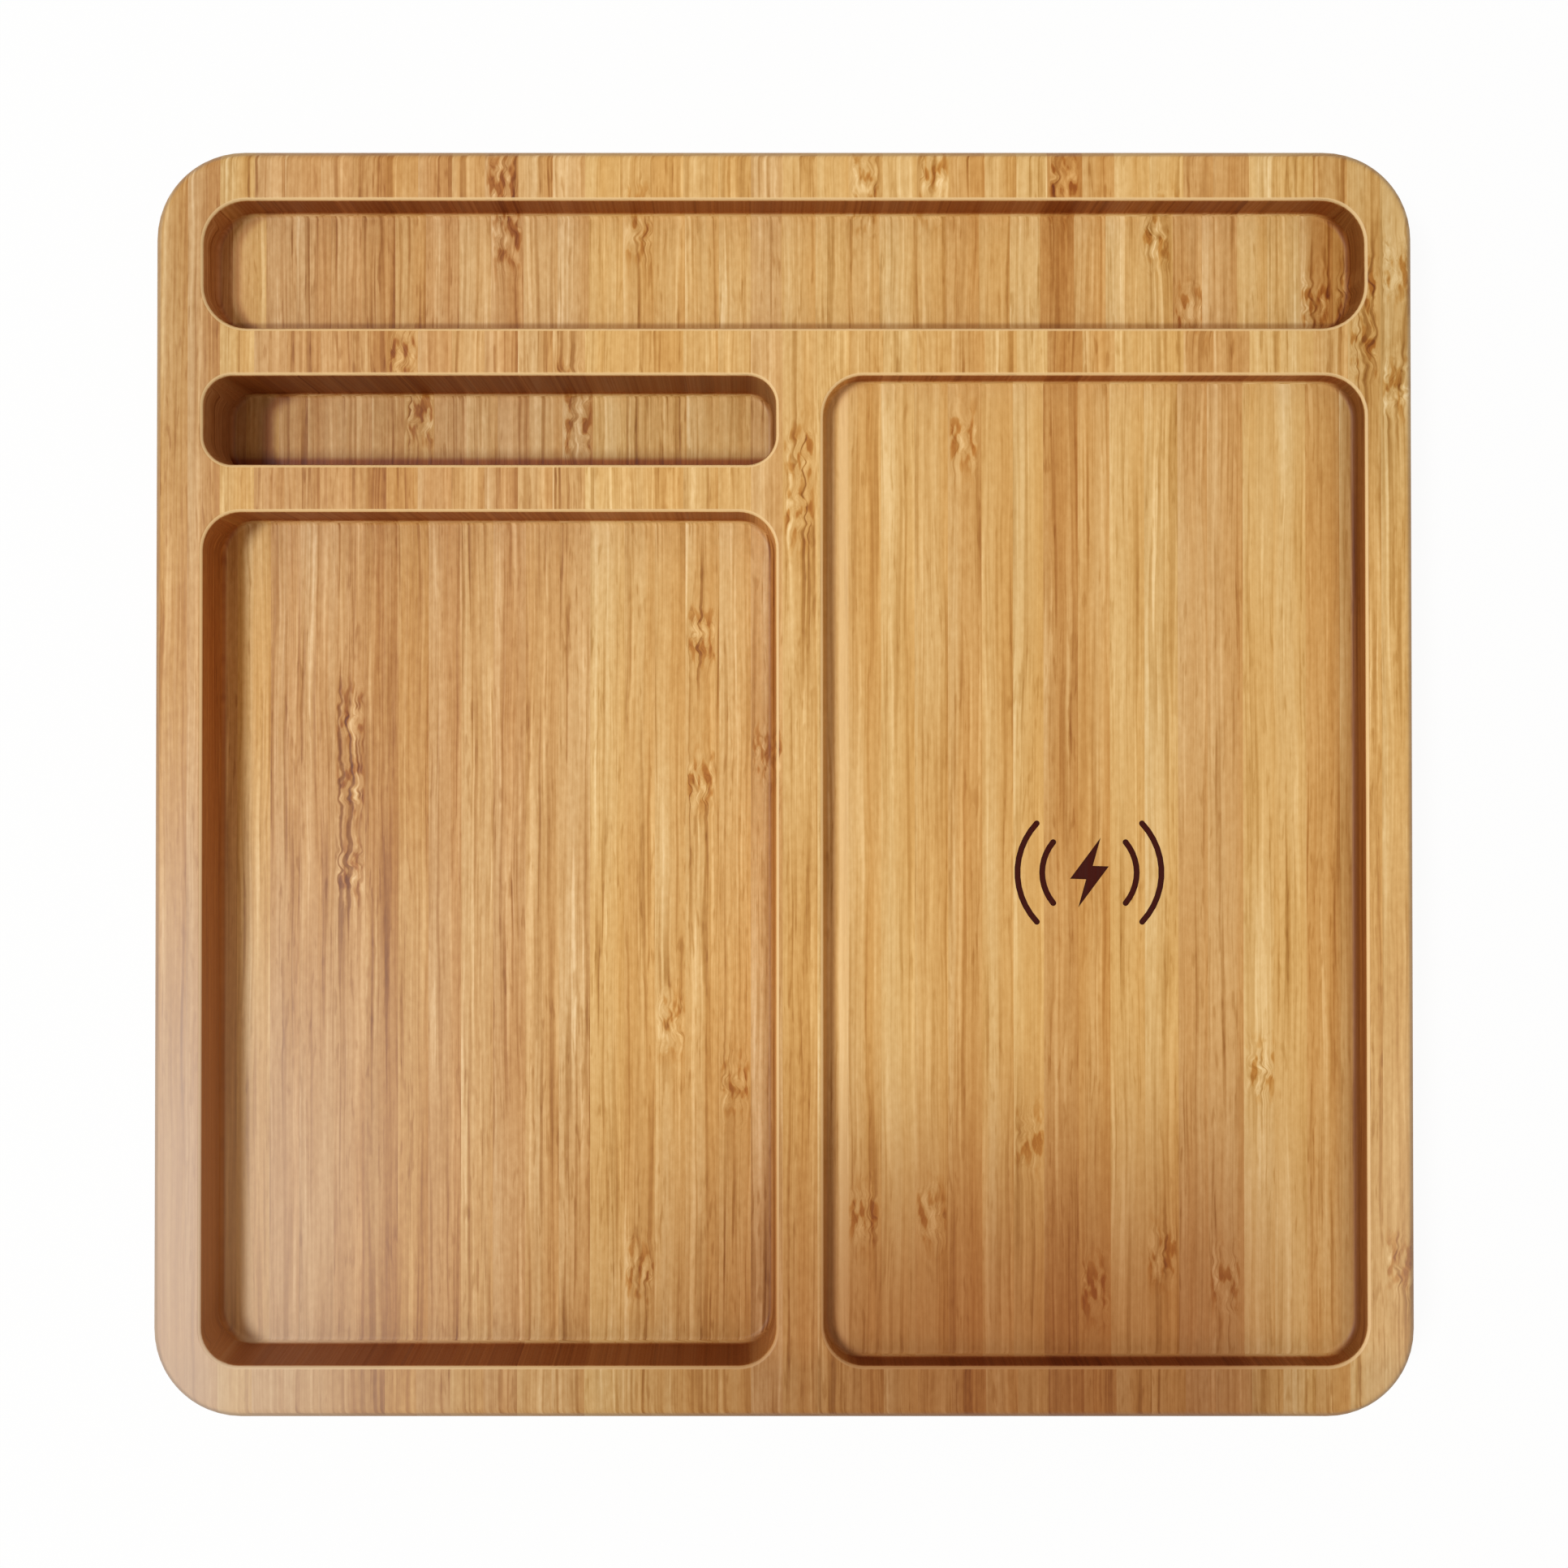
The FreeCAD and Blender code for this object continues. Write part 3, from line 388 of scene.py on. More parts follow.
def whereabouts(tree):
    """Where a place is on the board and in its strip, and which way it faces."""
    at = SimpleNamespace(tree=tree)
    at.x, at.y, at.z = split(in_mm(tree))
    at.facing_x, at.facing_y, at.facing_z = facing_way(tree)
    at.luck = stored(tree, "strip_luck", "Fac")
    at.side = (at.x - stored(tree, "strip_start", "Fac")) * (1 / STRIP_WIDTH) - 0.5
    at.ends = ease(abs(at.facing_y), 0.5, 0.85)
    at.lengthwise = 1 - at.ends
    at.inside = (abs(at.x) < tray_high.x - WALL_MARGIN) * (abs(at.y) < tray_high.y - WALL_MARGIN)
    low_down = at.z < tray_high.z - RIM_HEIGHT
    at.floor = low_down * ease(at.facing_z, 0, 0.3)
    leaning = ease(at.facing_z, 0.995, 0.93) * ease(at.facing_z, 0.4, 0.7)
    at.rim = leaning * (1 - low_down) * at.inside
    return at


def find_knots(at):
    """How near a place is to its strip's knots, and to the fibres that run out of them."""
    aways = [at.y - knot for knot in split(stored(at.tree, "strip_knots", "Vector"))]
    in_strip = ease(abs(at.side), 0.5, 0.34)

    def share(reach):
        falls = [(away * away * (-1 / reach**2)).step("EXPONENT") for away in aways]
        return sum(falls).smaller(1) * in_strip

    at.knot = share(KNOT_REACH)
    at.tail = share(TAIL_REACH)


def strip_noise(at, across, along, layer, detail=1, roughness=0.5):
    """Noise that differs from strip to strip."""
    return speckle(joined(across, along, at.luck * STRIP_LAYERS + layer), 1, detail, roughness)


def wander(at, name):
    """Slow noise over a strip."""
    per_across, per_along, layer = WANDERS[name]
    return strip_noise(at, at.x * per_across, at.y * per_along, layer)


def lay_fibres(at):
    """Fibres wave a little and swirl through the knots."""
    at.across = (
        at.x
        + at.z * at.lengthwise
        + swing(wander(at, "sweep"), 1.2)
        + swing(wander(at, "wave"), 0.35)
        + swing(wander(at, "sideways swirl"), 4) * at.knot
    )
    at.along = at.y + swing(wander(at, "lengthways swirl"), 60) * at.knot


def fibres(at, name):
    """Noise drawn out along a strip's fibres."""
    per_across, stretch, layer, detail = FIBRES[name]
    per_along = per_across / stretch
    return strip_noise(at, at.across * per_across, at.along * per_along, layer, detail, 0.55)


def within(at, pocket):
    """One on the floor of a pocket, and nothing elsewhere."""
    walls = POCKETS[pocket]
    return between(at.x, walls.left, walls.right) * between(at.y, walls.front, walls.back) * at.floor


def end_dots(at):
    """Fibres seen end on, as dots that are darker on one side of each strip."""
    dots = ease(cells(joined(at.x, at.z, at.luck * STRIP_LAYERS), 1.8), 0.34, 0.14)
    return dots * at.ends * (at.side * 0.7 + 0.65)


def grained(at):
    """A strip's tone with its fibres and knots, which darken and redden it."""
    coming = ease(fibres(at, "coming"), 0.38, 0.62, 0.3, 1)
    at.fine = fibres(at, "fine")
    at.dark = ease(fibres(at, "dark"), 0.53, 0.68) * coming
    strokes = wander(at, "strokes")
    dark_strokes = ease(strokes, 0.5, 0.64) * at.knot
    light_strokes = ease(strokes, 0.47, 0.33) * at.knot
    grain = (
        swing(at.fine, 0.5)
        + swing(fibres(at, "pores"), 0.4)
        + at.dark * (at.tail * 0.35 + 0.45)
        + ease(fibres(at, "flecks"), 0.58, 0.72) * coming * 0.3
        + ease(fibres(at, "veins"), 0.58, 0.72, 0, 0.36)
        + ease(fibres(at, "hair"), 0.56, 0.7, 0, 0.15)
        + ease(fibres(at, "light"), 0.55, 0.7, 0, -0.24)
        + dark_strokes * 0.3
        + light_strokes * -0.28
        + at.tail * 0.06
    )
    # The cutter has drawn the grain out down the pocket walls, and the phone tray's floor is sanded finer
    shown = at.lengthwise.larger(at.inside * 0.7)
    grain = grain * shown * (1 - within(at, "phone") * 0.2)
    depth = (
        grain * 0.75
        + dark_strokes * 0.6
        + swing(fibres(at, "broad"), 0.55) * at.lengthwise
        + end_dots(at) * 0.55
        + swing(wander(at, "drift"), 0.4)
        + at.side * 0.14
        + 1
    )
    tone = stored(at.tree, "strip_tone", "Color")
    wood = field(at.tree, "ShaderNodeGamma", {"Color": tone, "Gamma": depth})
    return field(at.tree, "ShaderNodeHueSaturation", {"Color": wood, "Value": grain * -0.42 + 1.03})


def highlighted(at, wood):
    """Rims get a painted highlight, and the phone tray's floor along its left wall gets painted light."""
    # Painted highlight on the rounded rims of the pockets
    wood = mixed(at.rim * 0.85, wood, RIM_HIGHLIGHT)
    # Painted light lifts the shadow along the phone tray's left wall and draws a pale line beside it
    away = at.x - phone_edge
    by_left = ease(away, 2.5, 3.1) * ease(away, 4.8, 4.2, 0, 0.5)
    return mixed(within(at, "phone") * by_left, wood, PAINTED_FLOOR_LIGHT)


def toned_and_sheened(at, wood):
    """The board is darker towards its front, dull at its edges, and paler at its left side and front with a
    painted sheen of the lamp.
    """
    from_sides = ease(at.x, -75, 30) * ease(at.x, 108, 70, 0.15, 1)
    # Darker towards the front, away from the sides
    wood = mixed(ease(at.y, -34, -100) * from_sides, wood, FRONT_DARKENING, "MULTIPLY")
    back_corners = ease(abs(at.x), 75, 108) * ease(at.y, 20, 75)
    wood = mixed(back_corners.larger(ease(at.y, -96, -104)), wood, DULLED, "MULTIPLY")
    # Painted sheen: paler towards the left side and the front
    sides = ease(at.x, -35, -112, 0, 0.5) + ease(at.x, 96, 110, 0, 0.2)
    left_rim = ease(at.x, -95, -106, 0, 0.2)
    sheen_share = sides * ease(at.y, 20, -80) + left_rim * ease(at.y, 60, -40)
    return mixed(sheen_share, wood, PAINTED_SHEEN)


def scorched_and_shaded_walls(at, wood):
    """Milled walls are scorched, most across the fibres, with painted shade that differs by which way they
    face, and the outer rounded edges are greyed with painted shade.
    """
    sideways = abs(at.facing_x)
    milled = ease(sideways, 0.03, 0.6).larger(ease(abs(at.facing_y), 0.65, 0.95))
    walls = milled * at.inside * (0.92 - at.rim * 0.92)
    # Each tint is scorch and painted shade: walls in the lamp's shadow, in the back row and by the divider
    # are painted lighter, and walls facing the lamp darker.
    in_back_row = ease(at.y, tray_back, slot_front)
    to_left = ease(at.facing_x, -0.1, -0.7)
    scorch_and_shade = mixed(to_left, WALL_SCORCH_SHADE, RIGHT_SCORCH_SHADE)
    by_left = mixed(in_back_row, LEFT_SCORCH_SHADE, BACK_ROW_SCORCH_SHADE)
    scorch_and_shade = mixed(ease(at.facing_x, 0.1, 0.7), scorch_and_shade, by_left)
    by_divider = ease(abs(at.x), 30, 15) * ease(sideways, 0.1, 0.7)
    scorch_and_shade = mixed(by_divider * (1 - in_back_row * to_left * 0.75), scorch_and_shade, MIDDLE_SCORCH_SHADE)
    wood = mixed(walls, wood, scorch_and_shade, "MULTIPLY")
    # Painted shade greys the rounded outer edges.
    edge_shade_share = ease(at.facing_z, 0.985, 0.8) * ease(at.facing_z, 0.1, 0.5) * (0.4 - at.inside * 0.4)
    return mixed(edge_shade_share, wood, EDGE_SHADE)


def shaded_floors(at, wood):
    """Painted shade and warm tints of the lamp's shadow lie on the floors along their walls."""
    for pocket, wall, solid, reach, strength, tint in FLOOR_SHADES:
        place = at.y if wall == "front" else at.x
        band = ease(abs(place - getattr(POCKETS[pocket], wall)), reach, solid, 0, strength)
        wood = mixed(band * within(at, pocket), wood, tint, "MULTIPLY")
    return wood


def shadow_edged(at, wood):
    """Painted shadow lies on the floors in soft lines along their left walls, at the edge of the lamp's
    shadow.
    """
    for pocket, away, reach, strength in SHADOW_EDGES:
        walls = POCKETS[pocket]
        past_side = beyond(at.x - away, walls.left, walls.right, walls.corner)
        past_end = beyond(at.y, walls.front, walls.back, walls.corner)
        rounded = length_of(past_side.larger(0), past_end.larger(0))
        straight = past_side.larger(past_end).smaller(0)
        line = ease(abs(rounded + straight - walls.corner), reach, 0, 0, strength)
        turn = walls.left + away + walls.corner
        share = line * ease(at.x, turn + 2, turn - 2) * within(at, pocket)
        wood = mixed(share, wood, SHADOW_EDGE_TINT, "MULTIPLY")
    return wood


def in_pictogram(at):
    """One on the engraved pictogram, which lies below the phone tray's floor."""
    floor = tray_high.z - PHONE_SINK
    out = length_of(at.x - ICON_MIDDLE[0], at.y - ICON_MIDDLE[1])
    return between(at.z, floor - ICON_DEPTH, floor - ICON_SKIN) * (out < ICON_REACH)


oiled = new_finish("bamboo_oiled")
at = whereabouts(oiled.tree)
find_knots(at)
lay_fibres(at)
wood = grained(at)
for change in (highlighted, toned_and_sheened, scorched_and_shaded_walls, shaded_floors, shadow_edged):
    wood = change(at, wood)
burnt = in_pictogram(at)
wood = mixed(burnt, wood, mixed(at.fine, BURNT, BURNT_PALE))
rough = ease(at.fine, 0.25, 0.75, 0.46, 0.58) + burnt * 0.35
set_inputs(oiled.surface, {"Base Color": wood, "Roughness": rough, "Specular IOR Level": 0.22})
bump(oiled, at.fine - at.dark, 0.02)

strip_edges = [
    tray_low.x + number * STRIP_WIDTH + strip_luck.uniform(-STRIP_WANDER, STRIP_WANDER)
    for number in range(1, len(STRIPS))
]
strip_chances = [strip_luck.random() for strip in STRIPS]
board = merged_copy("bamboo_tray")
for edge in strip_edges:
    every_part = board.verts[:] + board.edges[:] + board.faces[:]
    bmesh.ops.bisect_plane(board, geom=every_part, dist=1e-8, plane_co=(edge * MM, 0, 0), plane_no=(1, 0, 0))
layers = board.faces.layers
tone_layer = layers.float_color.new("strip_tone")
luck_layer = layers.float.new("strip_luck")
start_layer = layers.float.new("strip_start")
knot_layer = layers.float_vector.new("strip_knots")
for face in board.faces:
    number = bisect.bisect(strip_edges, face.calc_center_median().x / MM)
    tone_name, knots = STRIPS[number]
    face[tone_layer] = linear(TONES[tone_name])
    face[luck_layer] = strip_chances[number]
    face[start_layer] = tray_low.x if number == 0 else strip_edges[number - 1]
    face[knot_layer] = Vector((*knots, NO_KNOT, NO_KNOT, NO_KNOT)[:3])
tray = new_piece("bamboo_board", smoothed(board), oiled)
tray.data.set_sharp_from_angle(angle=SHARP_ANGLE)
tray.modifiers.new("even shading", "WEIGHTED_NORMAL").keep_sharp = True
settle(tray)
stand_for(tray, "bamboo_tray")

# Base cover: a black plate that closes the charger bay from below and carries the circuit board.
# It is injection moulded, with a spark-eroded face, and has four posts on its inside.
# It lies in a rebate of the board, flush with its underside.


def new_group(name, kind, inputs, outputs):
    """A node group and its inputs as fields. Inputs and outputs are names under their kinds."""
    group = bpy.data.node_groups.new(name, f"{kind}NodeTree")
    for way, sockets in (("INPUT", inputs), ("OUTPUT", outputs)):
        for sort, labels in sockets.items():
            for label in labels:
                group.interface.new_socket(name=label, in_out=way, socket_type=f"NodeSocket{sort}")
    given = add_node(group, "NodeGroupInput").outputs
    return group, {socket.name: Field(socket) for socket in given if socket.name}


def surface_skin(name, drawn_out, detail):
    """A shader group for a surface's fine grain, its wide clouds and both together."""
    inputs = {"Vector": ["Place"], "Float": ["Grains per mm", "Clouds per mm"]}
    group, given = new_group(name, "Shader", inputs, {"Float": ["Grain", "Clouds", "Both"]})
    grain = speckle(stretched(given["Place"], drawn_out), given["Grains per mm"], detail)
    clouds = speckle(given["Place"], given["Clouds per mm"], 3)
    both = ease((grain + clouds) * 0.5, 0.35, 0.65)
    add_node(group, "NodeGroupOutput", {"Grain": grain, "Clouds": ease(clouds, 0.3, 0.7), "Both": both})
    return group


def skinned(name, skin, shade, gloss, dark, pale, grains, clouds, rough, relief):
    """A finish whose colour and gloss follow two outputs of a skin. Its relief is in millimetres."""
    finish = new_finish(name)
    inputs = {"Place": in_mm(finish.tree), "Grains per mm": grains, "Clouds per mm": clouds}
    seen = add_node(finish.tree, "ShaderNodeGroup", inputs, node_tree=skin).outputs
    finish.colour = mixed(Field(seen[shade]), dark, pale)
    roughness = ease(Field(seen[gloss]), 0, 1, *rough)
    set_inputs(finish.surface, {"Base Color": finish.colour, "Roughness": roughness})
    bump(finish, Field(seen["Grain"]), relief)
    return finish


MOULDED = surface_skin("moulded_surface", (1, 1, 1), 3)


def moulded(name, dark, pale, **values):
    """A moulded or pressed finish."""
    return skinned(name, MOULDED, "Both", "Clouds", dark, pale, **values)


def dress(finish, *nodes):
    """Give CAD nodes a finish in place of their plain one."""
    for node in nodes:
        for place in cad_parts[node].material_slots:
            place.material = finish.material


cover_black = moulded(
    "cover_black", (34, 34, 35), (50, 50, 51), grains=4, clouds=0.08, rough=(0.5, 0.68), relief=0.04
)
dress(cover_black, "base_cover")

# Cover screws: six zinc-plated steel screws with countersunk heads, a cross recess and a rolled thread.
# They are driven up through the cover into pilot holes in the bamboo, with their heads just under its face.
SCREW_SIDES = 24
SCREW_HEAD = 5
SCREW_CORE = 1.7
SCREW_EDGE = 0.08
RECESS_TAPER = 0.62
THREAD_STEPS = 6
CREST_SHARE = 0.3
PLATED = surface_skin("plated_metal", (1, 0.06, 1), 2)


def plated(name, dull, bright, **values):
    """A metal: its grain is lines drawn along it, and its clouds are faint stains."""
    finish = skinned(name, PLATED, "Clouds", "Both", dull, bright, **values)
    set_inputs(finish.surface, {"Metallic": 1})
    return finish


def ring_of(form, height, radius_at):
    """A ring of corners round the upright axis, in millimetres."""
    ring = []
    for number in range(SCREW_SIDES):
        angle = tau * number / SCREW_SIDES
        radius = radius_at(angle)
        place = Vector((radius * cos(angle), radius * sin(angle), height)) * MM
        ring.append(form.verts.new(place))
    return ring


def skin_between(form, lower, upper):
    """A band of four-sided faces between two rings of as many corners."""
    count = len(lower)
    for number in range(count):
        after = (number + 1) % count
        form.faces.new((lower[number], lower[after], upper[after], upper[number]))


def loop_edges(form, ring):
    """The edges round a ring of corners."""
    return [form.edges.get(pair) or form.edges.new(pair) for pair in zip(ring, ring[1:] + ring[:1])]


def turned_screw(head, core, crest, pitch, length, tip, recess):
    """A screw that stands on its head, which is a turned profile of radius and height."""
    form = bmesh.new()
    rings = []
    for radius, height in head:
        rings.append(ring_of(form, height, lambda angle: radius))
    thread_start = head[-1][1] + pitch / 2
    thread_span = length - tip / 4 - thread_start
    steps = ceil(thread_span / pitch * THREAD_STEPS)
    for step in range(steps + 1):
        height = thread_start + thread_span * step / steps
        taper = min(1, (length - height) / tip)

        def thread_radius(angle):
            turn = (height / pitch - angle / tau) % 1
            return taper * (core + crest * max(0, 1 - abs(turn - 0.5) / CREST_SHARE))

        rings.append(ring_of(form, height, thread_radius))
    for lower, upper in zip(rings, rings[1:]):
        skin_between(form, lower, upper)
    point = form.verts.new((0, 0, length * MM))
    for number, corner in enumerate(rings[-1]):
        form.faces.new((corner, rings[-1][(number + 1) % SCREW_SIDES], point))
    reach, half_width, sink = recess
    arm = [(reach, -half_width), (reach, half_width), (half_width, half_width)]
    quarters = [Matrix.Rotation(tau * quarter / 4, 2) for quarter in range(4)]
    cross = [turn @ Vector(spot) for turn in quarters for spot in arm]
    mouth = [form.verts.new(Vector((*spot, 0)) * MM) for spot in cross]
    bottom = [form.verts.new(Vector((*(spot * RECESS_TAPER), sink)) * MM) for spot in cross]
    skin_between(form, mouth, bottom)
    bmesh.ops.triangle_fill(form, edges=loop_edges(form, rings[0]) + loop_edges(form, mouth), use_beauty=True)
    bmesh.ops.triangle_fill(form, edges=loop_edges(form, bottom), use_beauty=True)
    bmesh.ops.recalc_face_normals(form, faces=form.faces)
    return smoothed(form)


def close_tree(geometry, finish):
    """End a geometry tree with one plain mesh of one material."""
    solid = field(geometry.tree, "GeometryNodeRealizeInstances", {"Geometry": geometry})
    painted = field(geometry.tree, "GeometryNodeSetMaterial", {"Geometry": solid, "Material": finish})
    add_node(geometry.tree, "NodeGroupOutput", {"Geometry": painted})


# Geometry nodes that set one piece out in rows and columns, each copy turned by chance
row_inputs = {
    "Geometry": ["Geometry"],
    "Int": ["Columns", "Rows", "Seed"],
    "Float": ["Column gap", "Row gap", "Most turn"],
    "Vector": ["Middle", "Lean"],
    "Material": ["Finish"],
}
ROWS, given = new_group("rows_of_pieces", "Geometry", row_inputs, {"Geometry": ["Geometry"]})
grid_sizes = {
    "Vertices X": given["Columns"],
    "Vertices Y": given["Rows"],
    "Size X": (given["Columns"] - 1) * given["Column gap"],
    "Size Y": (given["Rows"] - 1) * given["Row gap"],
}
grid = field(ROWS, "GeometryNodeMeshGrid", grid_sizes)
placing = {"Geometry": grid, "Translation": given["Middle"], "Rotation": given["Lean"]}
places = field(ROWS, "GeometryNodeTransform", placing)
chance = {0: (0, 0, 0), 1: joined(0, 0, given["Most turn"]), "Seed": given["Seed"]}
turn = field(ROWS, "FunctionNodeRandomValue", chance, data_type="FLOAT_VECTOR")
copying = {"Points": places, "Instance": given["Geometry"], "Rotation": turn}
close_tree(field(ROWS, "GeometryNodeInstanceOnPoints", copying), given["Finish"])


def give_inputs(modifier, tree, **values):
    """Put a geometry tree on a modifier and set its inputs by name."""
    modifier.node_group = tree
    for item in tree.interface.items_tree:
        key = item.name.lower().replace(" ", "_")
        if item.in_out == "INPUT" and key in values:
            modifier[item.identifier] = values[key]


def set_out(name, form, finish, middle, column_gap, row_gap, **values):
    """One mesh of copies of a form, in columns and rows round a middle, in millimetres."""
    piece = new_piece(name, form, finish)
    piece.data.set_sharp_from_angle(angle=SHARP_ANGLE)
    spread = {"middle": tuple(middle * MM), "column_gap": column_gap * MM, "row_gap": row_gap * MM}
    give_inputs(piece.modifiers.new("rows", "NODES"), ROWS, finish=finish.material, **spread, **values)
    settle(piece)
    return piece


def set_where(node, name, slot, form, finish, sides, columns, rows, hangs=False, **chance):
    """Copies of a form of two known sides where a CAD node has its solids. They stand or hang."""
    low, high = box_of(node)
    middle = (low + high) / 2
    middle.z = high.z if hangs else low.z
    column_gap = (high.x - low.x - sides[0]) / max(columns - 1, 1)
    row_gap = (high.y - low.y - sides[1]) / max(rows - 1, 1)
    counts = {"columns": columns, "rows": rows}
    stand_for(set_out(name, form, finish, middle, column_gap, row_gap, **counts, **chance), node)


zinc = plated(
    "zinc_plating", (150, 149, 146), (206, 206, 202), grains=6, clouds=0.5, rough=(0.28, 0.46), relief=0.004
)
cover_screw = turned_screw(
    head=[
        (SCREW_HEAD / 2 - SCREW_EDGE, 0),
        (SCREW_HEAD / 2, SCREW_EDGE),
        (SCREW_CORE / 2, (SCREW_HEAD - SCREW_CORE) / 2 + SCREW_EDGE),
    ],
    core=SCREW_CORE / 2,
    crest=0.25,
    pitch=1,
    length=8.5,
    tip=2,
    recess=(1.35, 0.38, 1.1),
)
head_sides = (SCREW_HEAD, SCREW_HEAD)
whole_turn = {"most_turn": tau, "seed": 6}
set_where("cover_screws", "cover_screw_set", "steel", cover_screw, zinc, head_sides, 2, 3, **whole_turn)

# Feet: four discs of soft black rubber that keep the board off the desk.
# They are moulded, with a rounded lower edge, and glued into shallow seats near the corners.
foot_rubber = moulded(
    "foot_rubber_matt", (33, 33, 33), (56, 55, 54), grains=2.5, clouds=0.25, rough=(0.72, 0.92), relief=0.03
)
dress(foot_rubber, *(f"foot_{end}_{side}" for end in ("front", "back") for side in ("left", "right")))

# Circuit board: glass-fibre laminate with green solder mask over its copper.
# Its screw holes have bare tinned rings, and gilt vias join the copper on its two sides.
# It lies on the cover's four posts, against the back wall of the bay.
MASK_GREEN = (12, 58, 34)
COPPER_GREEN = (24, 92, 54)
LAMINATE = (172, 150, 98)
LAMINATE_DARK = (132, 112, 70)
TIN = (196, 194, 186)
VIA_GOLD = (206, 164, 84)
POURS_PER_MM = 0.16
VIAS_PER_MM = 0.3
VIA_REACH = 0.3
HOLE_INSET = 3
RING_REACH = 2.05
RING_BLUR = 0.05
low, high = box_of("circuit_board")
mask = new_finish("solder_mask_green")
place = in_mm(mask.tree)
x, y, z = split(place)
flat = joined(x, y, 0)
pours = ease(cells(flat, POURS_PER_MM, 0.8, distance="CHEBYCHEV"), 0.46, 0.42)
via_size = VIAS_PER_MM * VIA_REACH
vias = ease(cells(flat, VIAS_PER_MM, 0.7), via_size * 1.1, via_size) * pours
from_holes = length_of(beyond(x, low.x, high.x, HOLE_INSET), beyond(y, low.y, high.y, HOLE_INSET))
rings = ease(from_holes, RING_REACH + RING_BLUR, RING_REACH)
cut_edge = ease(abs(facing_way(mask.tree)[2]), 0.8, 0.4)
weave = speckle(place, 1.6, 3)
colour = mixed(pours, MASK_GREEN, COPPER_GREEN)
colour = mixed(vias, colour, VIA_GOLD)
colour = mixed(rings, colour, TIN)
colour = mixed(cut_edge, colour, mixed(weave, LAMINATE, LAMINATE_DARK))
bare = vias.larger(rings) * (1 - cut_edge)
rough = ease(weave, 0.3, 0.7, 0.22, 0.36) + cut_edge * 0.4
set_inputs(mask.surface, {"Base Color": colour, "Metallic": bare, "Roughness": rough})
bump(mask, pours + weave * 0.2, 0.03)
dress(mask, "circuit_board")

# Board screws: four small zinc-plated screws with low pan heads and a cross recess.
# They go down through the board into the cover's posts.
PAN_HEAD = 3.6
PAN_HEIGHT = 1.3
board_screw = turned_screw(
    head=[
        (PAN_HEAD / 2 - 0.4, 0),
        (PAN_HEAD / 2 - 0.12, 0.14),
        (PAN_HEAD / 2, 0.42),
        (PAN_HEAD / 2, PAN_HEIGHT),
        (0.65, PAN_HEIGHT),
    ],
    core=0.62,
    crest=0.18,
    pitch=0.7,
    length=5.1,
    tip=1.2,
    recess=(1, 0.25, 0.7),
)
bmesh.ops.rotate(board_screw, verts=board_screw.verts, matrix=Matrix.Rotation(pi, 3, "X"))
head_sides = (PAN_HEAD, PAN_HEAD)
whole_turn = {"most_turn": tau, "seed": 4}
set_where("board_screws", "board_screw_set", "steel", board_screw, zinc, head_sides, 2, 2, True, **whole_turn)

# Controller and bridge chips: black epoxy packages with tinned terminals along their lower edges.
# They are moulded, with a dimple that marks the first terminal, and soldered to the board.
TERMINAL_RISE = 0.24
TERMINAL_PITCH = 0.65
TERMINAL_SHARE = 0.5
DIMPLE_INSET = 0.8
DIMPLE_REACH = 0.3
DIMPLE_BLUR = 0.1
DIMPLE_BLACK = (10, 10, 10)


def tinned(finish, share):
    """Bare tin over a finish, by a share from 0 to 1."""
    set_inputs(finish.surface, {"Base Color": mixed(share, finish.colour, TIN), "Metallic": share})


def dress_chips(name, node, step):
    """Give chips, which stand a step apart, a moulded epoxy with terminals."""
    low, high = box_of(node)
    resin = moulded(name, (24, 24, 25), (40, 40, 41), grains=7, clouds=0.6, rough=(0.5, 0.66), relief=0.01)
    x, y, z = split(in_mm(resin.tree))
    upright = ease(abs(facing_way(resin.tree)[2]), 0.8, 0.5)
    beat = (x + y).step("DIVIDE", TERMINAL_PITCH).step("FRACT")
    terminals = (beat < TERMINAL_SHARE) * (z < low.z + TERMINAL_RISE) * upright
    from_front = (y - low.y).step("MODULO", step)
    from_dimple = length_of(x - (low.x + DIMPLE_INSET), from_front - DIMPLE_INSET)
    dimple = ease(from_dimple, DIMPLE_REACH, DIMPLE_REACH - DIMPLE_BLUR) * (1 - upright)
    resin.colour = mixed(dimple, resin.colour, DIMPLE_BLACK)
    tinned(resin, terminals)
    dress(resin, node)


dress_chips("controller_resin", "controller_chip", 50)
dress_chips("bridge_resin", "bridge_chips", 8)

# Capacitors and resistors: fired ceramic blocks with tinned caps on both ends.
# The brown ones are capacitors and the black glazed ones resistors, all soldered in rows on the board.
CAPACITOR = (3.2, 2.5, 1.8)
RESISTOR = (1.6, 0.8, 0.5)
CAP_SHARE = 0.19
BODY_SHRINK = 0.06


def add_block(form, sides, middle, edge):
    """A block with softened edges. Sizes are in millimetres."""
    corners = bmesh.ops.create_cube(form, size=1)["verts"]
    bmesh.ops.scale(form, verts=corners, vec=Vector(sides) * MM)
    bmesh.ops.translate(form, verts=corners, vec=Vector(middle) * MM)
    edges = list({side for corner in corners for side in corner.link_edges})
    faces_before = set(form.faces) - {face for corner in corners for face in corner.link_faces}
    bmesh.ops.bevel(form, geom=edges, offset=edge * MM, segments=2, affect="EDGES", profile=0.5)
    return [face for face in form.faces if face not in faces_before]


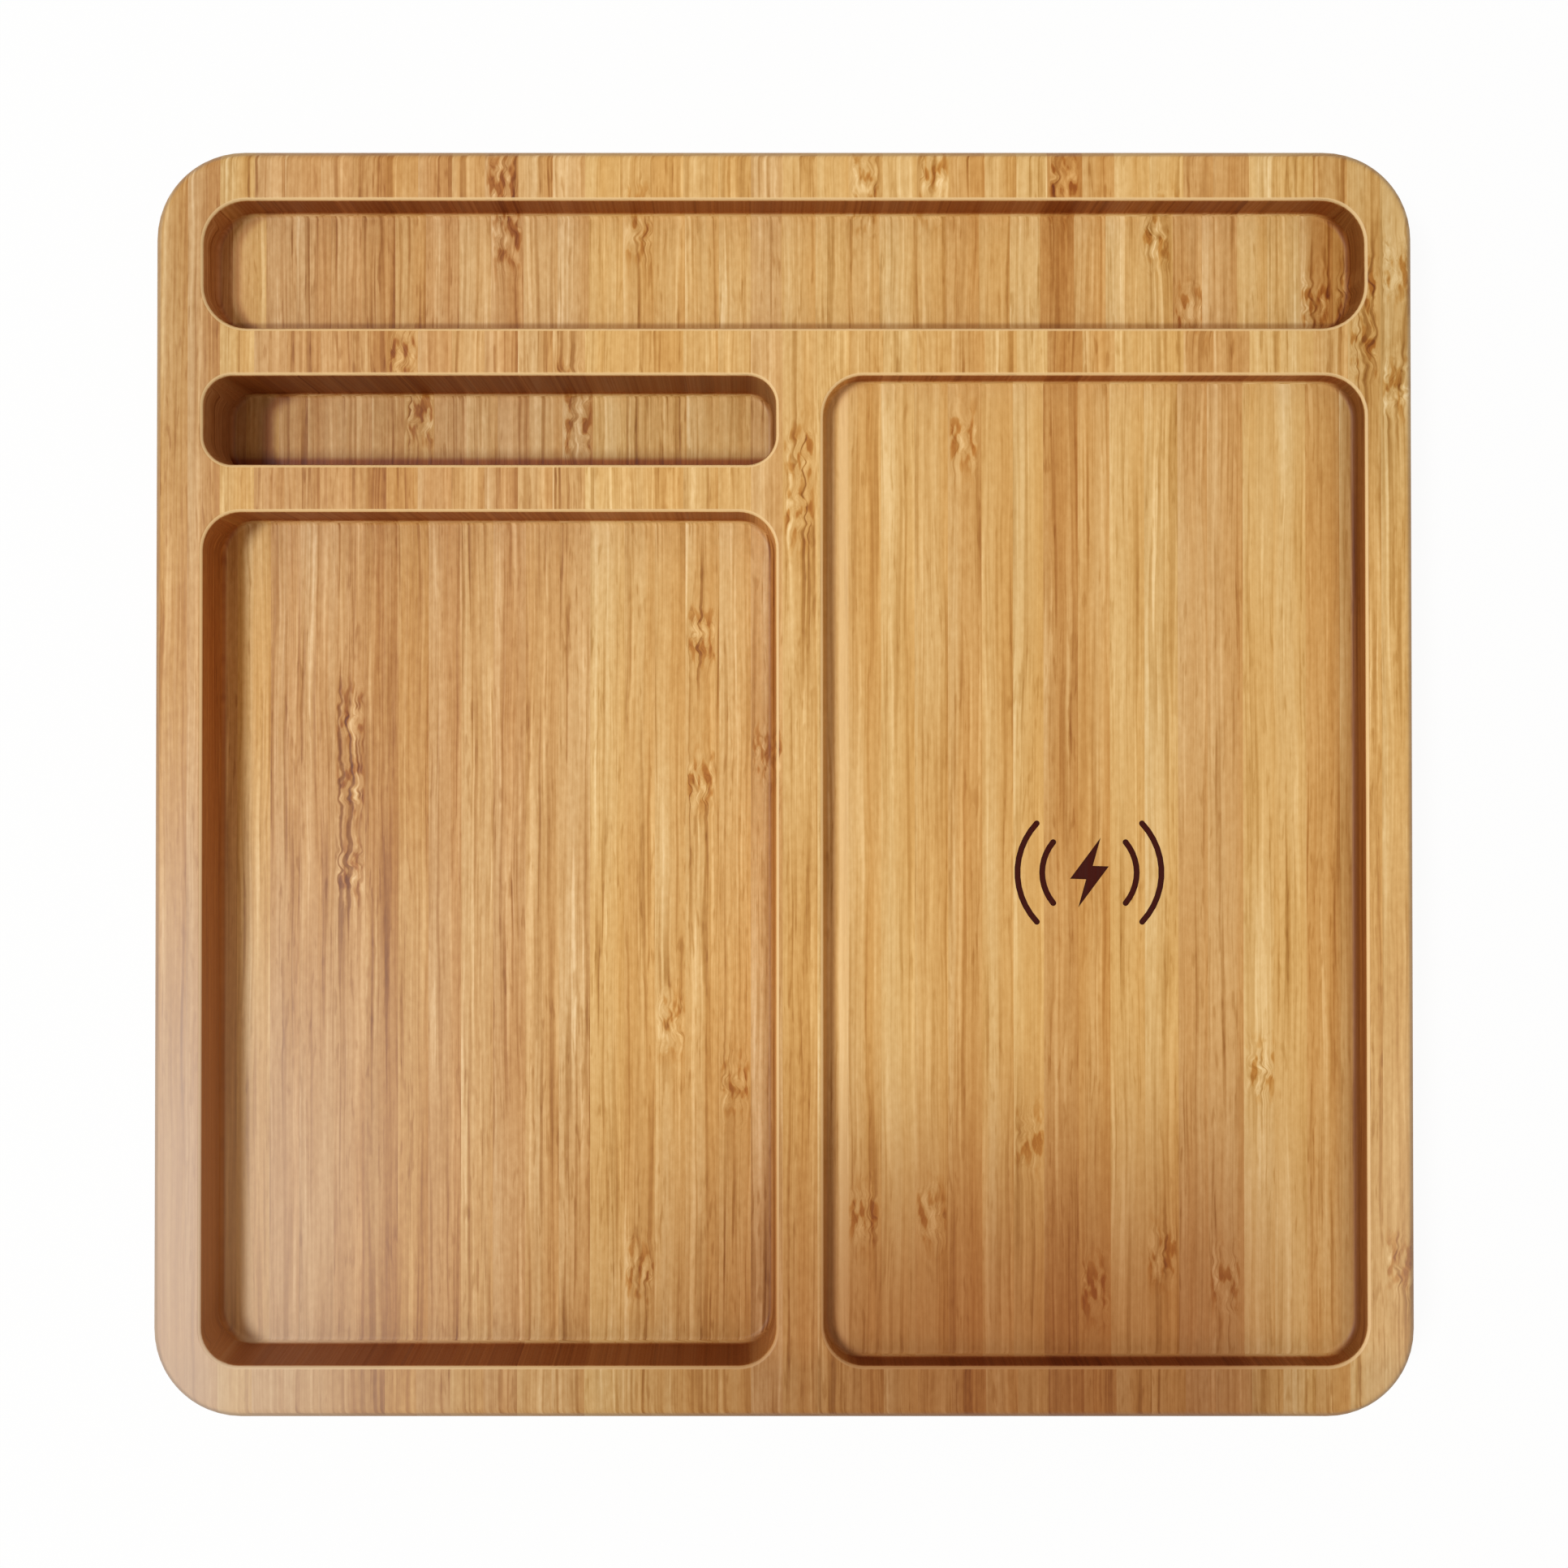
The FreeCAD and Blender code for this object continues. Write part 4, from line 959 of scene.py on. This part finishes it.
def capped_block(sides):
    """A ceramic block on the board with a cap on each end."""
    width, depth, height = sides
    form = bmesh.new()
    cap_layer = form.faces.layers.float.new("cap")
    cap = width * CAP_SHARE
    shrink = height * BODY_SHRINK
    add_block(form, (width - cap, depth - shrink, height - 2 * shrink), (0, 0, height / 2), shrink / 2)
    for side in (-1, 1):
        for face in add_block(form, (cap, depth, height), (side * (width - cap) / 2, 0, height / 2), shrink):
            face[cap_layer] = 1.0
    return smoothed(form)


def capped_ceramic(name, dark, pale, rough):
    """Fired ceramic whose caps are tinned."""
    ceramic = moulded(name, dark, pale, grains=9, clouds=1.2, rough=rough, relief=0.004)
    tinned(ceramic, stored(ceramic.tree, "cap", "Fac"))
    return ceramic


brown_ceramic = capped_ceramic("capacitor_ceramic_fired", (118, 88, 60), (150, 116, 82), (0.34, 0.5))
black_glaze = capped_ceramic("resistor_glaze", (22, 22, 24), (38, 38, 40), (0.2, 0.34))
for node, name, slot, sides, finish, columns, rows in (
    ("resonance_capacitors", "resonance_capacitor_row", "capacitor_ceramic", CAPACITOR, brown_ceramic, 4, 1),
    ("buffer_capacitors", "buffer_capacitor_pair", "capacitor_ceramic", CAPACITOR, brown_ceramic, 2, 1),
    ("chip_resistors", "chip_resistor_rows", "resistor_ceramic", RESISTOR, black_glaze, 5, 2),
):
    set_where(node, name, slot, capped_block(sides), finish, sides, columns, rows)

# Power inductor: a block of pressed iron powder round a hidden winding, with a tinned clip on each side.
# It is the tallest piece on the board and is soldered by its clips.
CLIP_HALF = 1.6
CLIP_SKIN = 0.05
low, high = box_of("power_inductor")
powder = moulded(
    "inductor_powder", (60, 60, 62), (92, 92, 95), grains=5, clouds=0.4, rough=(0.6, 0.8), relief=0.03
)
x, y, z = split(in_mm(powder.tree))
on_sides = beyond(x, low.x, high.x, CLIP_SKIN) > 0
tinned(powder, on_sides * (abs(y - (low.y + high.y) / 2) < CLIP_HALF))
dress(powder, "power_inductor")

# Power inlet: a drawn nickel-plated shell round a black tongue, with gilt contacts on both of its faces.
# The shell is soldered to the board, so that its mouth comes out through the board's back edge.
CONTACT_WIDTH = 0.25
CONTACT_LENGTH = 3.6
CONTACT_THICK = 0.05
CONTACT_ROUND = 0.012
CONTACTS_A_FACE = 12
nickel = plated(
    "nickel_plating", (158, 155, 148), (210, 208, 202), grains=5, clouds=0.4, rough=(0.2, 0.36), relief=0.003
)
dress(nickel, "usb_socket_shell")
tongue_black = moulded(
    "tongue_black", (18, 18, 18), (34, 34, 34), grains=6, clouds=0.5, rough=(0.4, 0.56), relief=0.01
)
dress(tongue_black, "usb_socket_tongue")
gilt = plated(
    "contact_gilding", (196, 150, 66), (232, 190, 104), grains=14, clouds=1.5, rough=(0.16, 0.3), relief=0.002
)
contact = bmesh.new()
add_block(contact, (CONTACT_WIDTH, CONTACT_THICK, CONTACT_LENGTH), (0, 0, 0), CONTACT_ROUND)
bmesh.ops.rotate(contact, verts=contact.verts, matrix=Matrix.Rotation(pi / 2, 3, "X"))
low, high = box_of("usb_socket_contacts")
contacts = set_out(
    "gilt_contacts",
    contact,
    gilt,
    middle=(low + high) / 2,
    column_gap=(high.x - low.x - CONTACT_WIDTH) / (CONTACTS_A_FACE - 1),
    row_gap=high.z - low.z - CONTACT_THICK,
    columns=CONTACTS_A_FACE,
    rows=2,
    lean=(pi / 2, 0.0, 0.0),
)
stand_for(contacts, "usb_socket_contacts")

# Port bezel: a satin black surround with a flange, which fills the opening in the board's back edge.
# It is moulded and pressed in round the mouth of the inlet.
bezel_satin = moulded(
    "bezel_satin", (28, 28, 29), (44, 44, 45), grains=5, clouds=0.15, rough=(0.36, 0.5), relief=0.01
)
dress(bezel_satin, "port_bezel")

# Charging light: a white light-emitting diode on the board, behind a clear pin in the board's back edge.
# The pin is moulded from acrylic, and its collar keeps it in its hole.
# The diode's amber phosphor faces the pin.
PHOSPHOR = (232, 186, 74)
PHOSPHOR_REACH = 0.95
PHOSPHOR_BLUR = 0.1
PHOSPHOR_SKIN = 0.05
ACRYLIC = (238, 243, 246)
low, high = box_of("status_led")
led = moulded(
    "led_resin", (214, 212, 200), (236, 234, 226), grains=6, clouds=0.8, rough=(0.3, 0.44), relief=0.006
)
x, y, z = split(in_mm(led.tree))
off_middle = length_of(x - (low.x + high.x) / 2, z - (low.z + high.z) / 2)
window = ease(off_middle, PHOSPHOR_REACH, PHOSPHOR_REACH - PHOSPHOR_BLUR) * (y > high.y - PHOSPHOR_SKIN)
set_inputs(led.surface, {"Base Color": mixed(window, led.colour, PHOSPHOR)})
dress(led, "status_led")

acrylic = new_finish("acrylic_clear")
flow = speckle(stretched(in_mm(acrylic.tree), (1, 0.2, 1)), 1.2, 3)
clear = {"Base Color": linear(ACRYLIC), "Transmission Weight": 0.85, "IOR": 1.49}
set_inputs(acrylic.surface, {**clear, "Roughness": ease(flow, 0.3, 0.7, 0.1, 0.24)})
bump(acrylic, flow, 0.01)
dress(acrylic, "light_pipe")

# Transmitting coil: one enamelled copper wire of twisted strands, wound in two layers of ten turns.
# The upper layer is wound inwards and the lower one outwards.
# Its two leads run back, slope down and end in the circuit board.
COIL_TURNS = 10
COIL_PITCH = 1.25
WIRE = 0.7
POINTS_A_TURN = 12
LEAD_START = 7
LEAD_SLOPE = 9
LEAD_RISE = 2.7
LEAD_LEVEL = 6
LEAD_DROP = 1.5
STRANDS = 5
TWIST_LENGTH = 11
WIRE_STEP = 1.15
STRAND_RELIEF = 0.12
CORNERS_A_STRAND = 4

# Geometry nodes that give a path the section of a twisted wire
wire_inputs = {
    "Geometry": ["Geometry"],
    "Int": ["Strands"],
    "Float": ["Wire radius", "Strand relief", "Twists per metre", "Step"],
    "Material": ["Finish"],
}
WOUND, given = new_group("wound_wire", "Geometry", wire_inputs, {"Geometry": ["Geometry"]})
stepping = {"Curve": given["Geometry"], "Length": given["Step"]}
path = field(WOUND, "GeometryNodeResampleCurve", stepping, mode="LENGTH")
run = add_node(WOUND, "GeometryNodeSplineParameter").outputs
twist = Field(run["Length"]) * given["Twists per metre"] * tau
twisted = field(WOUND, "GeometryNodeSetCurveTilt", {"Curve": path, "Tilt": twist})
circle = {"Resolution": given["Strands"] * CORNERS_A_STRAND, "Radius": given["Wire radius"]}
section = field(WOUND, "GeometryNodeCurvePrimitiveCircle", circle)
wave = (Field(run["Factor"]) * given["Strands"] * tau).step("COSINE")
dip = (wave - 1) * given["Strand relief"]
place = field(WOUND, "GeometryNodeInputPosition")
offset = field(WOUND, "ShaderNodeVectorMath", {0: place, "Scale": dip}, operation="SCALE")
lobed = field(WOUND, "GeometryNodeSetPosition", {"Geometry": section, "Offset": offset})
sweeping = {"Curve": twisted, "Profile Curve": lobed, "Fill Caps": True}
swept = field(WOUND, "GeometryNodeCurveToMesh", sweeping)
close_tree(field(WOUND, "GeometryNodeSetShadeSmooth", {0: swept}), given["Finish"])


def coil_path():
    """Points of the smooth spline that the wire follows, in millimetres."""
    low, high = box_of("transmit_coil")
    outer = (high.x - low.x - WIRE) / 2
    middle_x = (low.x + high.x) / 2
    middle_y = low.y + outer - COIL_PITCH / 4 + WIRE / 2
    upper = high.z - WIRE / 2
    lower = upper - COIL_PITCH
    inner = outer - COIL_TURNS * COIL_PITCH
    corner_reach = 1 / cos(pi / POINTS_A_TURN)

    def on_turn(turn, radius, height):
        angle = -tau * turn
        reach = radius * corner_reach
        return Vector((middle_x + reach * cos(angle), middle_y + reach * sin(angle), height))

    def lead(side, height):
        x = middle_x + side * outer
        landing = high.y - WIRE / 2
        run_height = low.z + LEAD_RISE
        slope_start = middle_y + LEAD_START
        slope_end = slope_start + LEAD_SLOPE
        stops = (
            (middle_y, height),
            (slope_start, height),
            (slope_start + LEAD_SLOPE / 4, height),
            (slope_end - LEAD_SLOPE / 4, run_height),
            (slope_end, run_height),
            (landing - LEAD_LEVEL, run_height),
            (landing, run_height),
            (landing, run_height - LEAD_DROP),
            (landing, low.z),
        )
        return [Vector((x, y, z)) for y, z in stops]

    spots = [(number + 0.5) / POINTS_A_TURN for number in range(COIL_TURNS * POINTS_A_TURN)]
    half = POINTS_A_TURN // 2
    steps = [(number + 0.5) / half for number in range(half)]
    inwards = [on_turn(turn, outer - COIL_PITCH * turn, upper) for turn in spots]
    down = [on_turn(COIL_TURNS + step / 2, inner, upper + (lower - upper) * step) for step in steps]
    outwards = [on_turn(COIL_TURNS + 0.5 + turn, inner + COIL_PITCH * turn, lower) for turn in spots]
    return lead(1, upper)[::-1] + inwards + down + outwards + lead(-1, lower)


copper = plated(
    "enamelled_copper", (150, 76, 34), (206, 122, 66), grains=3, clouds=0.3, rough=(0.22, 0.36), relief=0.004
)
set_inputs(copper.surface, {"Coat Weight": 0.6})
path_points = coil_path()
path_data = bpy.data.curves.new("coil_path", "CURVE")
path_data.dimensions = "3D"
path_spline = path_data.splines.new("NURBS")
path_spline.points.add(len(path_points) - 1)
for spot, place in zip(path_spline.points, path_points):
    spot.co = (*(place * MM), 1)
path_spline.order_u = 3
path_spline.use_endpoint_u = True
path_spline.resolution_u = 6
path_object = placed("coil_path", path_data)
give_inputs(
    path_object.modifiers.new("wire", "NODES"),
    WOUND,
    wire_radius=WIRE / 2 * MM,
    strands=STRANDS,
    strand_relief=STRAND_RELIEF,
    twists_per_metre=1 / (TWIST_LENGTH * MM),
    step=WIRE_STEP * MM,
    finish=copper.material,
)
wire_mesh = plain_mesh(path_object)
bpy.data.objects.remove(path_object)
stand_for(placed("coil_winding", wire_mesh), "transmit_coil")

# What holds the coil: a glued ring of adhesive film above it and a sintered ferrite disc below it.
# The film fixes the coil to the web under the phone, and the disc keeps its field out of the electronics.
film = moulded(
    "adhesive_film", (192, 178, 138), (216, 204, 166), grains=2, clouds=0.2, rough=(0.3, 0.5), relief=0.01
)
dress(film, "coil_adhesive")
ferrite = moulded(
    "ferrite_sintered", (46, 46, 49), (74, 74, 78), grains=6, clouds=0.35, rough=(0.5, 0.74), relief=0.02
)
dress(ferrite, "ferrite_shield")

# Foam pad: a square block of closed-cell foam, cut from sheet, that presses the coil and its disc upwards.
# The cover squeezes it, so its sides bulge between its flat top and bottom.
FOAM_BULGE = 0.8
FOAM_LEVELS = 14
FOAM_CORNER = 4
FOAM_SHARP = radians(60)
CORNER_STEPS = 8
SIDE_STEPS = 20
CELL_DENT = 0.09
# Cell walls are painted lighter than the shaded hollows
LIT_CELL_WALL = (70, 70, 73)
CELLS_PER_MM = 1.5
foam_luck = random.Random(7)
low, high = box_of("coil_foam_pad")
foam_middle = (low + high) / 2
foam_half = (high.x - low.x) / 2


def foam_outline(half):
    """Points along the sides and round corners of a square."""
    points = []
    flat = half - FOAM_CORNER
    for quarter in range(4):
        turn = Matrix.Rotation(tau * quarter / 4, 2)
        for step in range(CORNER_STEPS):
            angle = pi / 2 * step / CORNER_STEPS
            spot = Vector((flat + FOAM_CORNER * cos(angle), flat + FOAM_CORNER * sin(angle)))
            points.append(turn @ spot)
        for step in range(SIDE_STEPS):
            points.append(turn @ Vector((flat - 2 * flat * step / SIDE_STEPS, half)))
    return points


foam = bmesh.new()
foam_rings = []
for level in range(FOAM_LEVELS + 1):
    rise = level / FOAM_LEVELS
    bulge = FOAM_BULGE * (sin(pi * rise) ** 0.5 - 0.5)
    ring = []
    for spot in foam_outline(foam_half + bulge):
        dent = foam_luck.uniform(-CELL_DENT, CELL_DENT)
        outwards = spot.normalized() * dent
        place = Vector((foam_middle.x + spot.x + outwards.x, foam_middle.y + spot.y + outwards.y, 0))
        place.z = low.z + (high.z - low.z) * rise
        ring.append(foam.verts.new(place * MM))
    foam_rings.append(ring)
for lower, upper in zip(foam_rings, foam_rings[1:]):
    skin_between(foam, lower, upper)
foam.faces.new(foam_rings[0][::-1])
foam.faces.new(foam_rings[-1])
bmesh.ops.triangulate(foam, faces=[face for face in foam.faces if len(face.verts) > 4])
bmesh.ops.recalc_face_normals(foam, faces=foam.faces)
foam_grey = moulded(
    "foam_grey", (38, 38, 40), (62, 62, 65), grains=1.8, clouds=0.2, rough=(0.8, 0.95), relief=0.06
)
# The cells' hollows are painted darker as shade, and their walls lighter.
from_wall = cells(in_mm(foam_grey.tree), CELLS_PER_MM, feature="DISTANCE_TO_EDGE")
hollow = ease(from_wall, 0.02, 0.3)
set_inputs(foam_grey.surface, {"Base Color": mixed(hollow, LIT_CELL_WALL, foam_grey.colour)})
bump(foam_grey, hollow, 0.1)
pad = new_piece("foam_pad", smoothed(foam), foam_grey)
pad.data.set_sharp_from_angle(angle=FOAM_SHARP)
stand_for(pad, "coil_foam_pad")

# Floor, light and camera: a plain white table, one soft lamp high on the left and a pale warm room.
# The table and the room look white to the camera, and the table still takes the board's shadow.
# The camera is above the board and looks almost straight down.
TABLE_REACH = 3
TABLE_GLOW = 0.94
TABLE_WHITE = (243, 243, 243)
ROOM_LIGHT = (0.45, 0.38, 0.31, 1)
WHITE = (1, 1, 1, 1)
LAMP_AWAY = 2.2
LAMP_LEAN = radians(26.5)
LAMP_SIZE = 0.45
LAMP_SHARE = 0.58
LAMP_COLOUR = (0.90, 0.97, 1)
CAMERA_PLACE = (-0.007, 0.0101, 0.322)
CAMERA_TILT = radians(0.48)
CAMERA_ANGLE = radians(49.2)
CAMERA_SHIFT = (0.0254, -0.0467)


def seen_straight(tree):
    """One for what is seen, directly, reflected or through glass, and nothing for falling light."""
    ray = add_node(tree, "ShaderNodeLightPath").outputs
    direct, glossy, through = (Field(ray[f"Is {sort} Ray"]) for sort in ("Camera", "Glossy", "Transmission"))
    return direct.larger(glossy).larger(through)


table_form = bmesh.new()
bmesh.ops.create_grid(table_form, x_segments=1, y_segments=1, size=TABLE_REACH)
white = new_finish("white_table")
set_inputs(white.surface, {"Base Color": linear(TABLE_WHITE), "Roughness": 0.8})
glow = field(white.tree, "ShaderNodeEmission", {"Color": WHITE, "Strength": 1})
shown = seen_straight(white.tree) * TABLE_GLOW
blend = field(white.tree, "ShaderNodeMixShader", {0: shown, 1: Field(white.surface.outputs[0]), 2: glow})
set_inputs(white.tree.nodes["Material Output"], {"Surface": blend})
new_piece("table", table_form, white)

world = bpy.data.worlds.new("pale_room")
world.use_nodes = True
bpy.context.scene.world = world
room = {0: seen_straight(world.node_tree), 6: ROOM_LIGHT, 7: WHITE}
room_colour = field(world.node_tree, "ShaderNodeMix", room, 2, data_type="RGBA")
set_inputs(world.node_tree.nodes["Background"], {"Color": room_colour, "Strength": 1})

lamp_data = bpy.data.lights.new("key_lamp", "AREA")
lamp_data.shape = "DISK"
lamp_data.size = LAMP_SIZE
lamp_data.color = LAMP_COLOUR
lamp_data.energy = LAMP_SHARE * pi**2 * LAMP_AWAY**2 / cos(LAMP_LEAN)
lamp = placed("key_lamp", lamp_data)
lamp.location = (-LAMP_AWAY * sin(LAMP_LEAN), 0, LAMP_AWAY * cos(LAMP_LEAN))
lamp.rotation_euler = (0, -LAMP_LEAN, 0)

camera_data = bpy.data.cameras.new("camera")
camera_data.sensor_width = 36
camera_data.angle = CAMERA_ANGLE
camera_data.clip_start = 0.01
camera_data.shift_x, camera_data.shift_y = CAMERA_SHIFT
camera = placed("camera", camera_data)
camera.location = CAMERA_PLACE
camera.rotation_euler = (CAMERA_TILT, 0, 0)
bpy.context.scene.camera = camera
bpy.context.scene.view_settings.view_transform = "Standard"
